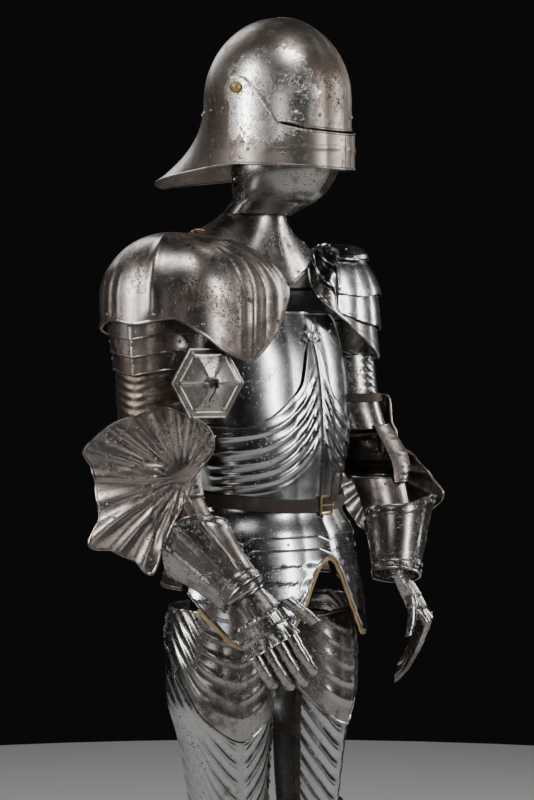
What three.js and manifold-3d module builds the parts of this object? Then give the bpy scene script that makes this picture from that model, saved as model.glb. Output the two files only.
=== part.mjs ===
// A Gothic field armour, standing in its wearer's pose with nobody inside.
// Millimetres, +Z up. The figure faces -Y, so its right side is -X and its left side is +X.
// Heights in the tables are above the floor; the last lines move the origin to the neck, where it is held.
import {
  BufferAttribute, BufferGeometry, CylinderGeometry, ExtrudeGeometry, Group, MathUtils, Mesh,
  MeshStandardMaterial, Path, Shape, Vector3,
} from 'three';
import { mergeVertices } from 'three/addons/utils/BufferGeometryUtils.js';
import Module from 'manifold-3d';

const wasm = await Module();
wasm.setup();

// ---------------------------------------------------------------- driving dimensions
const CROWN_HEIGHT = 1800;      // top of the helmet above the floor
const HOLD_HEIGHT = 1430;       // base of the neck, where the wearer carries the armour
const STEEL = 2;                // thickness of a plate
const GAP = 1;                  // room between two plates that overlap
const LAP = STEEL + GAP;        // one plate over another lies this much further out
const RIDGE_SPREAD = 16;        // degrees over which a median ridge rises
const TURN = 360;               // degrees in a full ring

const HEAD_Y = -33;             // middle of the skull, front to back
const SKULL_SIDE = 105;         // half its width
const SKULL_DEPTH = 131;        // half its length, without the ridge
const SKULL_RIDGE = 9;
const BROW_HEIGHT = 1665;       // where the dome becomes the skirt
const PIVOT_Y = -44;
const PIVOT_HEIGHT = 1680;
const PIVOT_RADIUS = 4;
const PIVOT_CLEARANCE = 0.4;

// ---------------------------------------------------------------- finishes
const FINISHES = {
  bright_steel: { color: 0x9a9a98, roughness: 0.3, metalness: 1 },
  worn_steel: { color: 0x7c756c, roughness: 0.45, metalness: 1 },
  russet_steel: { color: 0x54463a, roughness: 0.55, metalness: 0.9 },
  brown_leather: { color: 0x4b2f1e, roughness: 0.8, metalness: 0 },
  brass: { color: 0x9c7a3c, roughness: 0.45, metalness: 1 },
};

// ---------------------------------------------------------------- small helpers
const sine = (degrees) => Math.sin(MathUtils.degToRad(degrees));
const cosine = (degrees) => Math.cos(MathUtils.degToRad(degrees));
const lerp = MathUtils.lerp;

// Angles spread evenly from one to another; a ring leaves out the last, which is the first again.
function spread(from, to, steps) {
  return Array.from({ length: steps + 1 }, (_, i) => lerp(from, to, i / steps));
}

function ringAngles(steps) {
  return spread(0, TURN, steps).slice(0, -1);
}

// Both halves of a list of angles that starts at the middle.
function mirrored(half) {
  return [...half.slice(1).reverse().map((angle) => -angle), ...half];
}

// A value read from a table of rows [where, value], in straight lines between its rows.
function along(rows, where) {
  if (typeof rows === 'number') return rows;
  if (where <= rows[0][0]) return rows[0][1];
  const next = rows.findIndex(([place]) => place > where);
  if (next < 0) return rows.at(-1)[1];
  const [low, high] = [rows[next - 1], rows[next]];
  return lerp(low[1], high[1], (where - low[0]) / (high[0] - low[0]));
}

// An edge that is the same on both sides of the body: its table runs from the front, 0, to the back, 180.
function bothSides(rows) {
  return (angle) => along(rows, Math.abs(wrapped(angle)));
}

function wrapped(angle) {
  return MathUtils.euclideanModulo(angle + TURN / 2, TURN) - TURN / 2;
}

// Columns of a section table at a height, in straight lines between its rows (highest row first).
function sectionAt(table, height) {
  const last = table.length - 1;
  const at = MathUtils.clamp(table.findIndex((row) => row.height <= height), 1, last);
  const low = table[at === -1 ? last : at];
  const high = table[(at === -1 ? last : at) - 1];
  const share = MathUtils.clamp((height - low.height) / (high.height - low.height), 0, 1);
  const section = {};
  for (const column of Object.keys(low)) section[column] = lerp(low[column], high[column], share);
  return section;
}

// ---------------------------------------------------------------- plates
// A closed wall from the points of its outer face: rows run upward, columns anticlockwise seen from above.
function wall(grid, thickness, closed = false) {
  const rows = grid.length;
  const columns = grid[0].length;
  const side = (column) => (closed ? (column + columns) % columns : MathUtils.clamp(column, 0, columns - 1));
  const level = (row) => MathUtils.clamp(row, 0, rows - 1);
  const normals = grid.map((line, row) => line.map((_, column) => {
    const across = grid[row][side(column + 1)].clone().sub(grid[row][side(column - 1)]);
    const up = grid[level(row + 1)][column].clone().sub(grid[level(row - 1)][column]);
    return across.cross(up).normalize();
  }));
  for (const [row, next] of [[0, 1], [rows - 1, rows - 2]]) {
    if (!isPole(grid[row])) continue;
    const pole = normals[next].reduce((sum, normal) => sum.add(normal), new Vector3()).normalize();
    normals[row].forEach((normal) => normal.copy(pole));
  }
  const points = [];
  for (const depth of [0, thickness]) {
    grid.forEach((line, row) => line.forEach((point, column) => {
      points.push(point.clone().addScaledVector(normals[row][column], -depth));
    }));
  }
  const outer = (row, column) => row * columns + side(column);
  const inner = (row, column) => rows * columns + outer(row, column);
  const triangles = [];
  const quad = (a, b, c, d) => triangles.push([a, b, c], [a, c, d]);
  const spans = closed ? columns : columns - 1;
  for (let row = 0; row < rows - 1; row++) {
    for (let column = 0; column < spans; column++) {
      quad(outer(row, column), outer(row, column + 1), outer(row + 1, column + 1), outer(row + 1, column));
      quad(inner(row, column), inner(row + 1, column), inner(row + 1, column + 1), inner(row, column + 1));
    }
    if (!closed) {
      const end = columns - 1;
      quad(outer(row, 0), outer(row + 1, 0), inner(row + 1, 0), inner(row, 0));
      quad(outer(row, end), inner(row, end), inner(row + 1, end), outer(row + 1, end));
    }
  }
  for (let column = 0; column < spans; column++) {
    const top = rows - 1;
    if (!isPole(grid[0])) {
      quad(outer(0, column), inner(0, column), inner(0, column + 1), outer(0, column + 1));
    }
    if (!isPole(grid[top])) {
      quad(outer(top, column), outer(top, column + 1), inner(top, column + 1), inner(top, column));
    }
  }
  return closedGeometry(points, triangles);
}

// A solid whose skin runs through rings of points and closes at a pole at each end.
function filled(rings) {
  const columns = rings[0].length;
  const corner = (row, column) => row * columns + column % columns;
  const triangles = [];
  for (let row = 0; row < rings.length - 1; row++) {
    for (let column = 0; column < columns; column++) {
      const [a, b] = [corner(row, column), corner(row, column + 1)];
      const [c, d] = [corner(row + 1, column + 1), corner(row + 1, column)];
      triangles.push([a, b, c], [a, c, d]);
    }
  }
  return closedGeometry(rings.flat(), triangles);
}

function isPole(line) {
  return line.every((point) => point.distanceTo(line[0]) < 1e-6);
}

// Points and triangles as one geometry, with shared points merged and empty triangles left out.
function closedGeometry(points, triangles) {
  const geometry = new BufferGeometry();
  geometry.setAttribute('position', new BufferAttribute(new Float32Array(points.flatMap((p) => p.toArray())), 3));
  geometry.setIndex(triangles.flat());
  const merged = mergeVertices(geometry, 1e-3);
  const index = merged.getIndex().array;
  const kept = [];
  for (let i = 0; i < index.length; i += 3) {
    const [a, b, c] = index.slice(i, i + 3);
    if (a !== b && b !== c && c !== a) kept.push(a, b, c);
  }
  merged.setIndex(kept);
  return merged;
}

// A plate over a form: form(height, angle, lift) gives a point of its outer face.
function plate(form, { angles, top, bottom, rows, lift = 0, thickness = STEEL, closed = false }) {
  const edge = (value, angle) => (typeof value === 'function' ? value(angle) : value);
  const grid = spread(0, 1, rows).map((share) => angles.map((angle) => {
    const height = lerp(edge(bottom, angle), edge(top, angle), share);
    const out = typeof lift === 'function' ? lift(angle, share) : lift;
    return form(height, angle, out);
  }));
  return wall(grid, thickness, closed);
}

// A form with level sections from a table: half-width to the side, half-depth to the front and back,
// the middle (x, y), the height of the median ridge, and how far the front is turned towards +X.
function sectionForm(table) {
  return (height, angle, lift = 0) => {
    const row = sectionAt(table, height);
    const front = Math.max(0, 1 - Math.abs(wrapped(angle)) / RIDGE_SPREAD) * (row.ridge ?? 0);
    const depth = (cosine(angle) > 0 ? row.front : row.back) + lift + front;
    const point = new Vector3(sine(angle) * (row.side + lift), -cosine(angle) * depth, 0);
    point.applyAxisAngle(new Vector3(0, 0, 1), MathUtils.degToRad(row.turn ?? 0));
    return point.add(new Vector3(row.x ?? 0, row.y ?? 0, height));
  };
}

// ---------------------------------------------------------------- solids joined and cut
function solid(geometry) {
  const plain = geometry.clone();
  for (const name of Object.keys(plain.attributes)) if (name !== 'position') plain.deleteAttribute(name);
  const merged = mergeVertices(plain, 1e-3);
  return new wasm.Manifold(new wasm.Mesh({
    numProp: 3,
    vertProperties: new Float32Array(merged.getAttribute('position').array),
    triVerts: new Uint32Array(merged.getIndex().array),
  }));
}

function geometryOf(body) {
  const mesh = body.getMesh();
  const geometry = new BufferGeometry();
  geometry.setAttribute('position', new BufferAttribute(new Float32Array(mesh.vertProperties), 3));
  geometry.setIndex(Array.from(mesh.triVerts));
  return geometry;
}

const joined = (a, b) => geometryOf(solid(a).add(solid(b)));
const cut = (a, b) => geometryOf(solid(a).subtract(solid(b)));

// A short cylinder along X, such as a pivot or the hole for one.
function roundBar(radius, from, to, y, height, sides) {
  const bar = new CylinderGeometry(radius, radius, Math.abs(to - from), sides);
  bar.rotateZ(Math.PI / 2);
  bar.translate((from + to) / 2, y, height);
  return bar;
}

// ---------------------------------------------------------------- the suit
const armour = new Group();
armour.name = 'armour';

function add(name, finish, geometry) {
  const mesh = new Mesh(geometry, new MeshStandardMaterial(FINISHES[finish]));
  mesh.name = name;
  armour.add(mesh);
}

// ---------------------------------------------------------------- helmet: sallet with a pivoting visor
const SKULL_RIM = bothSides([[0, 1611], [30, 1616], [52, 1625], [60, 1625], [72, 1563], [110, 1557], [150, 1547], [180, 1536]]);
const TAIL_REACH = 128;         // how far the tail stands out behind the skull
const TAIL_SHARPNESS = 7;       // how quickly that falls off towards the sides

// Level runs from -1 at the rim, through 0 at the brow, to 1 at the crown.
function salletPoint(level, angle, lift = 0, rim = SKULL_RIM(angle)) {
  const ridge = SKULL_RIDGE * Math.max(0, 1 - Math.abs(wrapped(angle)) / RIDGE_SPREAD);
  const rise = level > 0 ? level * 90 : 0;
  const below = Math.max(0, -level);
  const tail = TAIL_REACH * ((1 - cosine(angle)) / 2) ** TAIL_SHARPNESS * below ** 2;
  const shrink = cosine(rise);
  return new Vector3(
    sine(angle) * ((SKULL_SIDE + lift) * shrink + tail * 0.5),
    HEAD_Y - cosine(angle) * ((SKULL_DEPTH + ridge + lift) * shrink + tail),
    level > 0
      ? BROW_HEIGHT + (CROWN_HEIGHT - BROW_HEIGHT + lift) * sine(rise)
      : lerp(BROW_HEIGHT, rim, below),
  );
}

const SALLET_ANGLES = [0, 12, 30, 52, 60, 72, 84, 96, 125, 150, 168, 180];
const SALLET_RING = [...mirrored(SALLET_ANGLES).slice(1)];
const SALLET_LEVELS = [-1, -0.5, 0, 0.25, 0.5, 0.76, 1];
const skullGrid = SALLET_LEVELS.map((level) => SALLET_RING.map((angle) => salletPoint(level, angle)));
add('sallet_skull', 'worn_steel', wall(skullGrid, STEEL, true));

// The visor hangs from two arms that reach up to the pivots; its top edge is the lower side of the sight.
const VISOR_TOP = bothSides([[0, 1604], [30, 1609], [52, 1618], [60, 1640], [72, 1676], [84, 1697], [92, 1695]]);
const VISOR_BOTTOM = bothSides([[0, 1550], [45, 1555], [92, 1561]]);
const VISOR_LIFT = bothSides([[0, STEEL + 4], [60, STEEL + 3], [92, STEEL + 2]]);
const visorAngles = mirrored([0, 12, 30, 52, 60, 72, 84, 92]);
const visorForm = (height, angle, lift) => {
  const level = height > BROW_HEIGHT
    ? Math.asin((height - BROW_HEIGHT) / (CROWN_HEIGHT - BROW_HEIGHT)) / (Math.PI / 2)
    : (height - BROW_HEIGHT) / (BROW_HEIGHT - SKULL_RIM(angle));
  const point = salletPoint(Math.max(level, -1), angle, lift);
  return point.setZ(height);
};
let visor = plate(visorForm, { angles: visorAngles, top: VISOR_TOP, bottom: VISOR_BOTTOM, rows: 3, lift: VISOR_LIFT });
const PIVOT_INNER = SKULL_SIDE - 1;
const PIVOT_OUTER = SKULL_SIDE + 8;
const PIVOT_SIDES = 12;
visor = cut(visor, roundBar(PIVOT_RADIUS + PIVOT_CLEARANCE, -PIVOT_OUTER - 9, PIVOT_OUTER + 9, PIVOT_Y, PIVOT_HEIGHT, PIVOT_SIDES));
add('sallet_visor', 'worn_steel', visor);
const HEAD_RADIUS = 9;
for (const [side, sign] of [['right', -1], ['left', 1]]) {
  const shank = roundBar(PIVOT_RADIUS, sign * PIVOT_INNER, sign * PIVOT_OUTER, PIVOT_Y, PIVOT_HEIGHT, PIVOT_SIDES);
  const head = roundBar(HEAD_RADIUS, sign * (PIVOT_OUTER - 1), sign * (PIVOT_OUTER + 2), PIVOT_Y, PIVOT_HEIGHT, PIVOT_SIDES);
  add(`visor_pivot_${side}`, 'brass', joined(shank, head));
}

// ---------------------------------------------------------------- bevor: chin plate and collar
const CHIN = [
  { height: 1592, y: -38, side: 88, front: 108, back: 74, ridge: 5 },
  { height: 1556, y: -38, side: 86, front: 104, back: 74, ridge: 6 },
  { height: 1522, y: -34, side: 78, front: 86, back: 68, ridge: 5 },
  { height: 1503, y: -22, side: 70, front: 72, back: 60, ridge: 4 },
  { height: 1495, y: -4, side: 65, front: 66, back: 55, ridge: 3 },
  { height: 1488, y: 12, side: 61, front: 60, back: 52, ridge: 1 },
];
const CHIN_TOP = bothSides([[0, 1592], [60, 1590], [100, 1576], [128, 1560]]);
add('bevor_upper', 'worn_steel', plate(sectionForm(CHIN), {
  angles: mirrored([0, 12, 30, 52, 76, 102, 128]), top: CHIN_TOP, bottom: 1489, rows: 5,
}));

// The collar spreads from the neck onto the chest and shoulders and comes to a point in front.
const NECK = { height: 1485, y: 22, side: 57, front: 53, back: 48 };
const COLLAR = { y: 22, side: 112, front: 82, back: 92 };
const COLLAR_EDGE = bothSides([[0, 1371], [45, 1409], [90, 1446], [180, 1460]]);
function collarPoint(share, angle, lift = 0) {
  const out = share ** 1.35;
  const depth = cosine(angle) > 0 ? 'front' : 'back';
  const ridge = 6 * share * Math.max(0, 1 - Math.abs(wrapped(angle)) / RIDGE_SPREAD);
  return new Vector3(
    sine(angle) * (lerp(NECK.side, COLLAR.side, out) + lift),
    NECK.y - cosine(angle) * (lerp(NECK[depth], COLLAR[depth], out) + lift + ridge),
    lerp(NECK.height, COLLAR_EDGE(angle), share),
  );
}
const collarRing = mirrored([0, 12, 30, 52, 76, 102, 140, 180]).slice(1);
const collarGrid = spread(1, 0, 3).map((share) => collarRing.map((angle) => collarPoint(share, angle)));
add('bevor_collar', 'worn_steel', wall(collarGrid, STEEL, true));

// ---------------------------------------------------------------- body: breastplate, backplate, belt, fauld
const TORSO = [
  { height: 1400, side: 132, front: 52, back: 86, ridge: 4 },
  { height: 1323, side: 148, front: 80, back: 100, ridge: 6 },
  { height: 1246, side: 163, front: 106, back: 108, ridge: 8 },
  { height: 1180, side: 168, front: 114, back: 108, ridge: 9 },
  { height: 1114, side: 160, front: 117, back: 98, ridge: 9 },
  { height: 1050, side: 142, front: 113, back: 86, ridge: 8 },
  { height: 1012, side: 136, front: 112, back: 84, ridge: 7 },
  { height: 966, side: 160, front: 130, back: 110, ridge: 7 },
  { height: 918, side: 174, front: 142, back: 138, ridge: 7 },
  { height: 852, side: 187, front: 151, back: 156, ridge: 5 },
  { height: 786, side: 194, front: 155, back: 165, ridge: 4 },
];
const torso = sectionForm(TORSO);
const FRONT_ANGLES = [0, 5, 11, 20, 34, 50, 68, 87];
const BACK_ANGLES = spread(93, 267, 10);
const WAIST_HEIGHT = 1018;
const BREAST_TOP = bothSides([[0, 1323], [36, 1323], [50, 1312], [68, 1240], [87, 1195]]);
add('breastplate', 'bright_steel', plate(torso, {
  angles: mirrored(FRONT_ANGLES), top: BREAST_TOP, bottom: WAIST_HEIGHT + 8, rows: 6,
}));
// The plackart covers the belly and rises to a point in the middle of the chest.
const PLACKART_TOP = bothSides([[0, 1284], [5, 1262], [11, 1206], [20, 1178], [34, 1152], [50, 1141], [87, 1146]]);
add('plackart', 'bright_steel', plate(torso, {
  angles: mirrored(FRONT_ANGLES), top: PLACKART_TOP, bottom: WAIST_HEIGHT, rows: 5, lift: 2 * LAP,
}));
const BACK_TOP = (angle) => BREAST_TOP(87) + 185 * sine(Math.max(0, (angle - 93) / 174 * 180)) ** 0.7;
add('backplate', 'worn_steel', plate(torso, { angles: BACK_ANGLES, top: BACK_TOP, bottom: WAIST_HEIGHT, rows: 5 }));

// Lames below the waist: each next one lies under the one above it.
const ARCH = bothSides([[0, 937], [5, 931], [11, 908], [20, 852], [34, 804], [50, 800], [68, 836], [87, 880]]);
const FAULD = [
  { name: 'fauld_1', top: 1016, bottom: 966, lift: 2 * LAP, rows: 2 },
  { name: 'fauld_2', top: 974, bottom: 946, lift: LAP, rows: 1 },
  { name: 'fauld_3', top: 954, bottom: ARCH, lift: 0, rows: 3 },
];
const CULET = [
  { name: 'culet_1', top: 1016, bottom: 966, lift: 2 * LAP, rows: 2 },
  { name: 'culet_2', top: 974, bottom: 936, lift: LAP, rows: 1 },
  { name: 'culet_3', top: 944, bottom: 884, lift: 0, rows: 2 },
];
for (const lame of FAULD) add(lame.name, 'bright_steel', plate(torso, { ...lame, angles: mirrored(FRONT_ANGLES) }));
for (const lame of CULET) add(lame.name, 'worn_steel', plate(torso, { ...lame, angles: BACK_ANGLES }));

// The belt dips to the front; its buckle is an open frame beside the ridge.
const BELT_WIDTH = 21;
const BELT_THICKNESS = 3;
const BELT_LIFT = 3 * LAP + BELT_THICKNESS;
const beltMiddle = (angle) => 1014 + 28 * (1 - cosine(angle)) / 2;
const BELT_RING = ringAngles(20);
add('waist_belt', 'brown_leather', plate(torso, {
  angles: BELT_RING,
  top: (angle) => beltMiddle(angle) + BELT_WIDTH / 2,
  bottom: (angle) => beltMiddle(angle) - BELT_WIDTH / 2,
  rows: 1, lift: BELT_LIFT, thickness: BELT_THICKNESS, closed: true,
}));
const BUCKLE = { width: 30, height: 30, bar: 4, depth: 4, x: 6 };
function frameShape({ width, height, bar }) {
  const shape = new Shape();
  const box = (path, w, h) => path.moveTo(-w / 2, -h / 2).lineTo(w / 2, -h / 2).lineTo(w / 2, h / 2).lineTo(-w / 2, h / 2).closePath();
  box(shape, width, height);
  const hole = new Path();
  box(hole, width - 2 * bar, height - 2 * bar);
  shape.holes.push(hole);
  return shape;
}
const buckle = new ExtrudeGeometry(frameShape(BUCKLE), { depth: BUCKLE.depth, bevelEnabled: false });
buckle.rotateX(Math.PI / 2);
const beltFront = torso(beltMiddle(0), 0, BELT_LIFT);
buckle.translate(BUCKLE.x, beltFront.y - 2 * GAP, beltFront.z);
add('belt_buckle', 'brass', buckle);

// ---------------------------------------------------------------- shoulders
// A dome over a shoulder. Each row of its table is one direction seen from above (0 is the front, growing
// outward from the body): how far the dome reaches at its widest level, and how low its edge comes.
const SKIRT_SHARE = 0.35;       // part of the plate's depth that hangs below the widest level
function shoulderForm({ x, y, top, widest, outward, directions }) {
  return (share, angle, lift = 0) => {
    const reach = along(directions.map((row) => [row.angle, row.reach]), angle) + lift;
    const low = along(directions.map((row) => [row.angle, row.low]), angle);
    const hangs = low < widest;
    const arc = hangs ? 90 : MathUtils.radToDeg(Math.acos((low - widest) / (top - widest)));
    const upper = hangs ? Math.max(0, (share - SKIRT_SHARE) / (1 - SKIRT_SHARE)) : share;
    const hanging = hangs ? (widest - low) * Math.max(0, 1 - share / SKIRT_SHARE) : 0;
    const tilt = arc * (1 - upper);
    return new Vector3(
      x + outward * sine(angle) * reach * sine(tilt),
      y - cosine(angle) * reach * sine(tilt),
      widest - hanging + (top + lift - widest) * cosine(tilt),
    );
  };
}

function shoulderPlate(form, { angles, from, to, rows, lift, tuck = 0 }) {
  return wall(spread(0, 1, rows).map((up) => angles.map((angle) => (
    form(lerp(from, to, up), angle, lift - tuck * up)
  ))), STEEL, true);
}

const SHOULDER_RIGHT = {
  x: -208, y: 5, top: 1449, widest: 1345, outward: -1,
  directions: [
    { angle: 0, reach: 122, low: 1262 },
    { angle: 20, reach: 114, low: 1290 },
    { angle: 45, reach: 104, low: 1314 },
    { angle: 78, reach: 104, low: 1306 },
    { angle: 105, reach: 107, low: 1312 },
    { angle: 135, reach: 110, low: 1300 },
    { angle: 180, reach: 118, low: 1288 },
    { angle: 208, reach: 150, low: 1300 },
    { angle: 232, reach: 188, low: 1366 },
    { angle: 250, reach: 200, low: 1424 },
    { angle: 270, reach: 188, low: 1438 },
    { angle: 290, reach: 145, low: 1412 },
    { angle: 307, reach: 190, low: 1366 },
    { angle: 320, reach: 164, low: 1290 },
    { angle: 341, reach: 135, low: 1250 },
    { angle: 360, reach: 122, low: 1262 },
  ],
};
const rightAngles = SHOULDER_RIGHT.directions.map((row) => row.angle).slice(1).reverse();
add('pauldron_right', 'russet_steel', shoulderPlate(shoulderForm(SHOULDER_RIGHT), {
  angles: rightAngles, from: 0, to: 1, rows: 5, lift: 0,
}));

const SHOULDER_LEFT = {
  x: 205, y: 5, top: 1431, widest: 1325, outward: 1,
  directions: [
    { angle: 0, reach: 70, low: 1268 },
    { angle: 30, reach: 66, low: 1254 },
    { angle: 60, reach: 68, low: 1247 },
    { angle: 90, reach: 71, low: 1247 },
    { angle: 135, reach: 74, low: 1262 },
    { angle: 180, reach: 80, low: 1285 },
    { angle: 215, reach: 118, low: 1318 },
    { angle: 238, reach: 150, low: 1378 },
    { angle: 270, reach: 205, low: 1422 },
    { angle: 285, reach: 168, low: 1398 },
    { angle: 301, reach: 196, low: 1345 },
    { angle: 312, reach: 150, low: 1315 },
    { angle: 328, reach: 100, low: 1290 },
    { angle: 360, reach: 70, low: 1268 },
  ],
};
const leftAngles = SHOULDER_LEFT.directions.map((row) => row.angle).slice(0, -1);
const LAME_TUCK = 5;            // the hidden upper edge of a lame lies this much further in
const LEFT_LAMES = [
  { from: 0.72, to: 1 },
  { from: 0.46, to: 0.76 },
  { from: 0.22, to: 0.5 },
  { from: 0, to: 0.26 },
];
LEFT_LAMES.forEach((lame, index) => {
  const lift = (LEFT_LAMES.length - 1 - index) * LAP;
  const tuck = index === 0 ? 0 : LAME_TUCK;
  add(`pauldron_left_lame_${index + 1}`, 'bright_steel', shoulderPlate(shoulderForm(SHOULDER_LEFT), {
    ...lame, angles: leftAngles, rows: 2, lift, tuck,
  }));
});

// ---------------------------------------------------------------- arms
const ARM_RIGHT = [
  { height: 1330, x: -222, y: 18, side: 76, front: 80, back: 74 },
  { height: 1255, x: -227, y: 17, side: 70, front: 74, back: 70 },
  { height: 1180, x: -232, y: 16, side: 65, front: 68, back: 65 },
  { height: 1120, x: -238, y: 12, side: 60, front: 62, back: 60 },
  { height: 1085, x: -240, y: 4, side: 58, front: 62, back: 60 },
  { height: 1040, x: -236, y: -18, side: 52, front: 60, back: 56 },
  { height: 985, x: -224, y: -56, side: 44, front: 52, back: 48 },
  { height: 893, x: -198, y: -136, side: 32, front: 36, back: 34 },
];
const ARM_LEFT = [
  { height: 1300, x: 216, y: 15, side: 53, front: 58, back: 54 },
  { height: 1180, x: 226, y: 5, side: 55, front: 57, back: 56 },
  { height: 1120, x: 234, y: -12, side: 52, front: 56, back: 54 },
  { height: 1085, x: 234, y: -30, side: 52, front: 58, back: 56 },
  { height: 1040, x: 220, y: -66, side: 46, front: 52, back: 50 },
  { height: 985, x: 200, y: -102, side: 42, front: 46, back: 44 },
  { height: 893, x: 162, y: -148, side: 32, front: 36, back: 34 },
];
const ARM_RING = ringAngles(12);
const armRight = sectionForm(ARM_RIGHT);
const armLeft = sectionForm(ARM_LEFT);

// Chevron lames below the right pauldron, open towards the armpit; the point of each is on the outside.
const CHEVRON_ANGLE = -78;
const CHEVRON_DROP = 9;
const lameAngles = spread(CHEVRON_ANGLE - 120, CHEVRON_ANGLE + 120, 10);
const chevron = (base) => (angle) => base - CHEVRON_DROP * Math.max(0, 1 - Math.abs(angle - CHEVRON_ANGLE) / 40);
const RIGHT_LAMES = [
  { top: 1328, bottom: chevron(1290) },
  { top: 1298, bottom: chevron(1262) },
  { top: 1270, bottom: chevron(1234) },
];
RIGHT_LAMES.forEach((lame, index) => {
  const lift = (RIGHT_LAMES.length - 1 - index) * LAP;
  add(`pauldron_right_lame_${index + 1}`, 'russet_steel', plate(armRight, { ...lame, angles: lameAngles, rows: 1, lift }));
});
const ARM_PIECES = [
  { name: 'rerebrace_right', finish: 'russet_steel', form: armRight, top: 1242, bottom: 1128 },
  { name: 'vambrace_right', finish: 'russet_steel', form: armRight, top: 1046, bottom: 952 },
  { name: 'rerebrace_left', finish: 'worn_steel', form: armLeft, top: 1250, bottom: 1128 },
  { name: 'vambrace_left', finish: 'russet_steel', form: armLeft, top: 1046, bottom: 970 },
];
for (const { name, finish, form, top, bottom } of ARM_PIECES) {
  add(name, finish, plate(form, { angles: ARM_RING, top, bottom, rows: 2, lift: -LAP - 2 * GAP, closed: true }));
}

// A fan or disc: a domed plate in an upright plane, its outline given by its reach in each direction.
// Direction 0 is along the plane's level axis, 90 is up; the level axis lies to the right seen from outside.
// Below its middle the plate may flare away from the body.
function discPlate({ x, y, height, facing, dome, outline, rings, flare = 0 }) {
  const out = new Vector3(sine(facing), -cosine(facing), 0);
  const level = new Vector3(cosine(facing), sine(facing), 0);
  const rows = spread(1, 0, rings).map((share) => outline.map(({ angle, reach }) => (
    new Vector3(x, y, height)
      .addScaledVector(level, cosine(angle) * reach * share)
      .addScaledVector(out, dome * (1 - share ** 2) + flare * Math.max(0, -sine(angle)) * reach * share)
      .add(new Vector3(0, 0, sine(angle) * reach * share))
  )));
  return wall(rows, STEEL, true);
}

const WING_RIGHT = [
  { angle: 0, reach: 57 }, { angle: 17, reach: 74 }, { angle: 34, reach: 112 }, { angle: 48, reach: 120 },
  { angle: 62, reach: 117 }, { angle: 81, reach: 118 }, { angle: 101, reach: 105 }, { angle: 122, reach: 110 },
  { angle: 141, reach: 114 }, { angle: 156, reach: 120 }, { angle: 166, reach: 101 }, { angle: 180, reach: 91 },
  { angle: 197, reach: 91 }, { angle: 213, reach: 99 }, { angle: 225, reach: 135 }, { angle: 240, reach: 117 },
  { angle: 257, reach: 118 }, { angle: 270, reach: 136 }, { angle: 281, reach: 94 }, { angle: 301, reach: 66 },
  { angle: 330, reach: 56 },
];
const WING_LEFT = [
  { angle: 20, reach: 96 }, { angle: 60, reach: 110 }, { angle: 84, reach: 128 }, { angle: 98, reach: 131 },
  { angle: 112, reach: 88 }, { angle: 137, reach: 68 }, { angle: 165, reach: 88 }, { angle: 183, reach: 117 },
  { angle: 194, reach: 148 }, { angle: 205, reach: 136 }, { angle: 226, reach: 112 }, { angle: 255, reach: 96 },
  { angle: 285, reach: 108 }, { angle: 315, reach: 96 }, { angle: 345, reach: 104 },
];
const ELBOW_BULGE = 12;
const bulge = (share) => 1 + ELBOW_BULGE * sine(share * 180);

// The elbow's cop goes through its wing, so the wing is cut to the cop before the two are joined.
function couter(form, { middle, half, from, to, wing }) {
  const [top, bottom] = [middle + half, middle - half];
  const cop = plate(form, {
    angles: spread(from, to, 9), top, bottom, rows: 3, lift: (angle, share) => bulge(share),
  });
  const levels = spread(0, 1, 3).map((share) => ARM_RING.map((angle) => (
    form(lerp(bottom, top, share), angle, bulge(share) - STEEL / 2)
  )));
  const capped = [levels[0], ...levels, levels.at(-1)].map((line, row, all) => {
    if (row > 0 && row < all.length - 1) return line;
    const centre = line.reduce((sum, point) => sum.add(point), new Vector3()).divideScalar(line.length);
    return line.map(() => centre);
  });
  return joined(cop, cut(discPlate(wing), filled(capped)));
}
add('couter_right', 'russet_steel', couter(armRight, {
  middle: 1087, half: 46, from: -215, to: 20,
  wing: { x: -285, y: -34, height: 1060, facing: -53, dome: 14, flare: 0.3, outline: WING_RIGHT, rings: 2 },
}));
add('couter_left', 'russet_steel', couter(armLeft, {
  middle: 1087, half: 46, from: -20, to: 215,
  wing: { x: 284, y: -12, height: 1052, facing: 90, dome: 12, outline: WING_LEFT, rings: 2 },
}));

// Besagew: a six-sided pyramid that hangs in front of the right armpit.
const BESAGEW_REACH = 61;
const hexagon = ringAngles(6).map((angle) => ({ angle: angle + 30, reach: BESAGEW_REACH }));
add('besagew_right', 'bright_steel', discPlate({
  x: -226, y: -92, height: 1214, facing: -21, dome: 14, outline: hexagon, rings: 1,
}));

// ---------------------------------------------------------------- gauntlets
// A hand's own directions: along it to the fingertips, out of its back, and across it.
function handFrame({ wrist, knuckles, facing }) {
  const start = new Vector3(...wrist);
  const length = start.distanceTo(new Vector3(...knuckles));
  const forward = new Vector3(...knuckles).sub(start).normalize();
  const back = new Vector3(sine(facing), -cosine(facing), 0);
  back.addScaledVector(forward, -back.dot(forward)).normalize();
  const across = new Vector3().crossVectors(forward, back).negate();
  return { start, length, forward, back, across };
}

// An arched plate over sections from the far end to the wrist: each has its middle, half-width and rise.
function archedPlate(sections, { across, back }, halfArc, columns) {
  const grid = sections.map(({ middle, half, rise }) => spread(-halfArc, halfArc, columns).map((angle) => (
    middle.clone().addScaledVector(across, sine(angle) * half).addScaledVector(back, cosine(angle) * rise)
  )));
  return wall(grid, STEEL * 0.75);
}

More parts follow.
